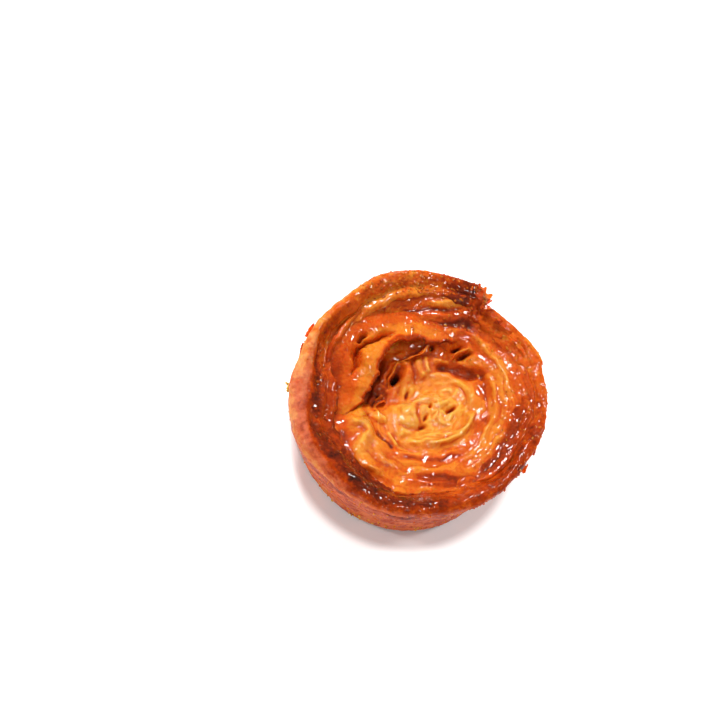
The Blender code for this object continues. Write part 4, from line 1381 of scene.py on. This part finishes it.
def shape_leaf(leaf):
    """Blisters, strands and pores of the leaf, and its material's numbers."""
    mesh = leaf.data
    along, across = recall(mesh, "along"), recall(mesh, "across")
    places, normals = read_places(mesh), read_normals(mesh)
    x, y, z = places.T
    radius = np.hypot(x, y)
    angle = LEAF_START + LEAF_SPAN * along
    bent = radius + 0.6 * noise(x, y, z, 6.0, 75)
    strands = np.exp(-(noise(bent, angle / 7.0, 0.0, 1.9, 71) / 0.15) ** 2)
    strands = strands * ease(noise(x, y, z, 5.0, 76) * 2.0 + 0.1)
    threads = noise(bent, angle / 5.0, 0.0, 0.8, 72)
    crumple = layered_noise(x, y, z, 4.2, 2, 73)
    pores = np.maximum(0.0, noise(x, y, z, 1.3, 74) - 0.45)
    blisters = domes(x, y, z, 1.6, 4) * ease(noise(x, y, z, 5.0, 77) * 2.0 - 0.1)
    push = 0.16 * strands + 0.30 * crumple - 0.10 * pores + 0.14 * blisters
    write_places(mesh, places + normals * push[:, None])
    # painted shade on the underside, which faces down, and in the crack
    shaded_underside = ease(-normals[:, 2] * 2.0)
    crack = leaf_crack(radius, angle)
    bake, caramel = leaf_bake(angle, across, radius, shaded_underside, crack)
    bake = bake + 0.04 * crumple - 0.03 * strands + 0.02 * threads
    store_oven_numbers(mesh, bake, np.clip(caramel, 0, 1), np.clip(0.3 * shaded_underside + 0.6 * crack, 0, 1))


leaf = build_strip("torn_leaf", 170, 40, LEAF_THICKNESS, leaf_places)
shape_leaf(leaf)
torn_leaf = finish_piece(leaf, "torn_leaf", leaf_dough)

# %% [markdown]
# ## Thin pleats in the hollow
# Between the middle and the leaf the dough has pulled into thin sheets. Each is a strip from the
# floor of the hollow up to a wavy free edge, much thinner than the leaf, so light comes through
# it. A list gives where each one starts, ends and how far it bends.

# %% Build the pleats
Pleat = namedtuple("Pleat", "x0 y0 x1 y1 depth0 depth1 tall lean bend")
PLEATS = (
    Pleat(-7.4, 3.0, -4.8, 13.6, 14.2, 10.6, 4.0, 0.8, 1.8),  # the sheet at the left
    Pleat(-4.6, 13.8, 6.2, 20.8, 11.6, 9.4, 3.4, 1.0, -1.2),  # the long one under the leaf
    Pleat(13.0, 16.0, 19.6, 19.0, 10.4, 8.6, 2.4, -0.8, 0.9),  # between two holes
    Pleat(-14.6, -4.0, -9.4, -1.0, 14.0, 13.0, 2.4, 1.0, 0.9),
    Pleat(-15.4, -1.5, -10.4, 3.0, 15.2, 13.8, 2.2, -1.2, -0.8),
)
PLEAT_THICKNESS = 0.5


def pleat_place(pleat, number):
    """The function that bends a strip into one pleat."""
    run = Vector((pleat.x1 - pleat.x0, pleat.y1 - pleat.y0))
    side = Vector((-run.y, run.x)).normalized()

    def place(along, across):
        wave = 0.6 * noise(along * 3.1, number * 2.0, 0.0, 1.0, 81) * across
        shift = pleat.bend * np.sin(math.pi * along) + pleat.lean * (1.0 - across) + wave
        x = pleat.x0 + run.x * along + side.x * shift
        y = pleat.y0 + run.y * along + side.y * shift
        top = -(pleat.depth0 + (pleat.depth1 - pleat.depth0) * ease(along))
        top = top + 0.6 * noise(along * 4.0, number * 3.0, 0.0, 1.0, 82)
        ends = 1.0 - ease(np.minimum(along, 1.0 - along) / 0.2)
        return np.stack([x, y, LIP_HEIGHT + top - 1.6 * ends - pleat.tall * (1.0 - across)], -1)

    return place


def build_pleats():
    """All the pleats as one piece."""
    strips = []
    for number, pleat in enumerate(PLEATS):
        strip = build_strip("pleat", 34, 10, PLEAT_THICKNESS, pleat_place(pleat, number))
        mesh = strip.data
        places, normals = read_places(mesh), read_normals(mesh)
        x, y, z = places.T
        across = recall(mesh, "across")
        write_places(mesh, places + normals * (0.16 * layered_noise(x, y, z, 1.8, 3, 83))[:, None])
        bake = 0.56 - 0.14 * ease(across) + 0.1 * noise(x, y, z, 3.0, 84)
        # painted shade at the foot of each pleat, where it meets the floor
        store_oven_numbers(mesh, bake, 0.55, 0.25 * (1.0 - ease(across / 0.8)))
        strips.append(strip)
    return join_pieces(strips)


thin_pleats = finish_piece(build_pleats(), "thin_pleats", thin_dough)

# %% [markdown]
# ## Torn flakes
# Thin shards of the outer layers stand off the crust, most of them at the burnt end. Each is a
# little strip that narrows to both ends and curls, laid at a place with a turn and a tip.

# %% Add the flakes
Flake = namedtuple("Flake", "x y z long wide turn tip curl bake")
FLAKES = (  # where each one is rooted, its size, which way it points, and how baked it is
    Flake(21.6, 36.6, 37.8, 3.6, 3.4, 54, 6, 0.5, 0.46),
    Flake(23.2, 35.2, 37.4, 3.4, 3.0, 24, 4, 0.5, 0.36),
    Flake(20.2, 37.8, 38.0, 3.0, 2.8, 70, 10, 0.4, 0.62),
    Flake(22.8, 33.8, 37.6, 3.4, 3.0, 2, 6, 0.5, 0.52),
    Flake(20.6, 35.4, 38.6, 3.2, 3.0, 44, 18, 0.6, 0.66),
    Flake(22.6, 32.0, 37.6, 3.4, 2.6, -28, 10, 0.4, 0.60),
    Flake(18.4, 38.6, 38.2, 3.0, 2.4, 12, 8, 0.4, 0.72),
    Flake(26.0, 28.6, 37.6, 4.0, 1.8, -46, 8, 0.3, 0.56),
    Flake(29.2, 25.0, 37.8, 4.0, 1.6, -48, 6, 0.3, 0.62),
    Flake(32.4, 21.4, 37.8, 3.6, 1.6, -52, 6, 0.3, 0.52),
    Flake(38.4, 17.4, 36.8, 3.0, 1.8, 110, 8, 0.3, 0.44),
    Flake(42.0, 10.6, 35.6, 3.0, 1.6, 100, 6, 0.3, 0.54),
    Flake(28.4, 27.2, 36.0, 4.0, 1.8, -46, 0, 0.3, 0.68),
    Flake(39.4, -18.6, 33.8, 3.2, 1.6, 60, 4, 0.3, 0.62),
    Flake(36.0, -25.0, 33.4, 3.4, 1.8, 50, 4, 0.3, 0.58),
    Flake(-38.4, 17.4, 37.8, 5.4, 1.8, 66, 2, 0.6, 0.56),
    Flake(-40.6, 11.0, 37.2, 4.0, 1.4, 86, 2, 0.5, 0.62),
    Flake(34.6, 18.0, 37.4, 3.4, 1.4, -52, 6, 0.3, 0.44),
)
FLAKE_THICKNESS = 0.22
FLAKE_ROOT = 0.3  # share of its length that lies in the crust


def flake_place(flake, number):
    """The function that bends a strip into one flake."""
    turn, tip = math.radians(flake.turn), math.radians(flake.tip)
    run = Vector((math.cos(turn) * math.cos(tip), math.sin(turn) * math.cos(tip), math.sin(tip)))
    side = Vector((-math.sin(turn), math.cos(turn), 0.0))
    rise = run.cross(side)

    def place(along, across):
        u = (along - FLAKE_ROOT) * flake.long
        side_number = np.where(across < 0.5, 0.0, 7.0) + number * 1.7
        teeth = 0.30 * noise(along * 9.0, side_number, 0.0, 1.0, 91)
        narrow = np.clip(1.05 - 1.0 * along ** 1.7 + teeth * (1.2 - along), 0.05, 1.2)
        v = (across - 0.5) * flake.wide * narrow
        w = flake.curl * ((along - FLAKE_ROOT) ** 2 * 2.0 + (across - 0.5) ** 2 * 1.5)
        w = w + 0.25 * noise(u, v + number * 3.0, 0.0, 1.3, 92)
        root = (flake.x, flake.y, flake.z)
        return np.stack([root[i] + run[i] * u + side[i] * v + rise[i] * w for i in range(3)], -1)

    return place


def build_flakes():
    """All the flakes as one piece."""
    strips = []
    for number, flake in enumerate(FLAKES):
        strip = build_strip("flake", 26, 8, FLAKE_THICKNESS, flake_place(flake, number), 0)
        mesh = strip.data
        x, y, z = read_places(mesh).T
        store_oven_numbers(mesh, flake.bake + 0.12 * noise(x, y, z, 1.6, 93), 0.5, 0.0)
        strips.append(strip)
    return join_pieces(strips)


torn_flakes = finish_piece(build_flakes(), "torn_flakes", thin_dough)

# %% [markdown]
# ## Beads of caramel
# Sugar that boiled out between the layers has set as small beads on the lip and in the folds. They
# are dropped onto the finished surface at seeded random places, in a few zones, and half sunk.

# %% Drop the beads
Zone = namedtuple("Zone", "count angle spread inner outer small large bake")
ZONES = (
    Zone(30, -140.0, 34.0, 33.0, 40.0, 0.30, 0.75, 0.70),  # the dark slope at the front left
    Zone(40, -88.0, 30.0, 35.0, 42.0, 0.25, 0.60, 0.64),
    Zone(34, 175.0, 26.0, 32.0, 38.0, 0.25, 0.60, 0.60),
    Zone(120, 92.0, 36.0, 36.0, 43.0, 0.30, 0.60, 0.46),  # the thin lip at the back
    Zone(14, 60.0, 10.0, 34.0, 42.0, 0.35, 0.80, 0.60),  # the burnt end
    Zone(70, -5.0, 70.0, 30.0, 43.0, 0.25, 0.45, 0.40),
    Zone(50, 70.0, 60.0, 20.0, 36.0, 0.25, 0.50, 0.40),
)
DROP_FROM = 60.0  # mm above the table
LOWEST_BEAD = 20.0


def sugar_ball(subdivisions, size, place, turn, scale, bake, caramel):
    """One ball, turned and stretched, with its material's numbers."""
    start()
    bpy.ops.mesh.primitive_ico_sphere_add(subdivisions=subdivisions, radius=size * MM, location=place)
    ball = bpy.context.object
    ball.rotation_euler = turn
    ball.scale = scale
    bpy.ops.object.transform_apply(location=True, rotation=True, scale=True)
    store_oven_numbers(ball.data, bake, caramel, 0.0)
    return ball


def drop_beads():
    """All the beads as one piece."""
    rng = np.random.default_rng(29)
    depsgraph = bpy.context.evaluated_depsgraph_get()
    beads = []
    for zone in ZONES:
        for _ in range(zone.count):
            angle = math.radians(zone.angle + zone.spread * (rng.random() + rng.random() - 1.0))
            radius = rng.uniform(zone.inner, zone.outer)
            size = rng.uniform(zone.small, zone.large) * rng.uniform(0.6, 1.0)
            above = Vector((radius * math.cos(angle), radius * math.sin(angle), DROP_FROM)) * MM
            hit, place, normal, _, _, _ = bpy.context.scene.ray_cast(depsgraph, above, Vector((0, 0, -1)))
            if not hit or place.z < LOWEST_BEAD * MM:
                continue
            turn = normal.to_track_quat("Z", "Y").to_euler()
            scale = (rng.uniform(0.9, 1.8), rng.uniform(0.8, 1.1), 0.55)
            bake = zone.bake + rng.uniform(-0.1, 0.06)
            beads.append(sugar_ball(2, size, place, turn, scale, bake, 1.0))
    return join_pieces(beads)


caramel_beads = finish_piece(drop_beads(), "caramel_beads", thin_dough)

# %% [markdown]
# ## Crumbs on the wall
# Sugar and bits of crust stick to the outside and make its outline rough. They are thrown at the
# wall from the side, all the way round, most of them where the pastry shows its wall.

# %% Throw the crumbs
Band = namedtuple("Band", "count angle spread low high small large bake")
BANDS = (
    Band(150, -110.0, 100.0, 2.0, 35.0, 0.20, 0.50, 0.40),  # the front of the wall
    Band(90, 70.0, 110.0, 4.0, 36.0, 0.20, 0.50, 0.42),
    Band(90, -15.0, 60.0, 30.0, 37.0, 0.20, 0.45, 0.52),  # under the lip at the right
    Band(60, 110.0, 50.0, 32.0, 38.0, 0.20, 0.45, 0.56),
    Band(9, 181.0, 2.0, 31.0, 34.0, 0.50, 0.80, 0.10),  # one pale cluster at the left
    Band(40, -125.0, 50.0, 1.5, 8.0, 0.30, 0.60, 0.30),
)
THROW_FROM = 70.0  # mm from the axis


def throw_crumbs():
    """All the crumbs as one piece."""
    rng = np.random.default_rng(31)
    depsgraph = bpy.context.evaluated_depsgraph_get()
    crumbs = []
    for band in BANDS:
        for _ in range(band.count):
            angle = math.radians(band.angle + band.spread * rng.uniform(-1.0, 1.0))
            outwards = Vector((math.cos(angle), math.sin(angle), 0.0))
            thrown = (outwards * THROW_FROM + Vector((0, 0, rng.uniform(band.low, band.high)))) * MM
            size = rng.uniform(band.small, band.large)
            hit, place, _, _, _, _ = bpy.context.scene.ray_cast(depsgraph, thrown, -outwards)
            if not hit:
                continue
            turn = [rng.uniform(0.0, math.pi) for _ in range(3)]
            scale = [rng.uniform(0.6, 1.3) for _ in range(3)]
            bake = band.bake + rng.uniform(-0.15, 0.10)
            crumbs.append(sugar_ball(1, size, place, turn, scale, bake, 0.4))
    return join_pieces(crumbs)


sugar_crumbs = finish_piece(throw_crumbs(), "sugar_crumbs", thin_dough)
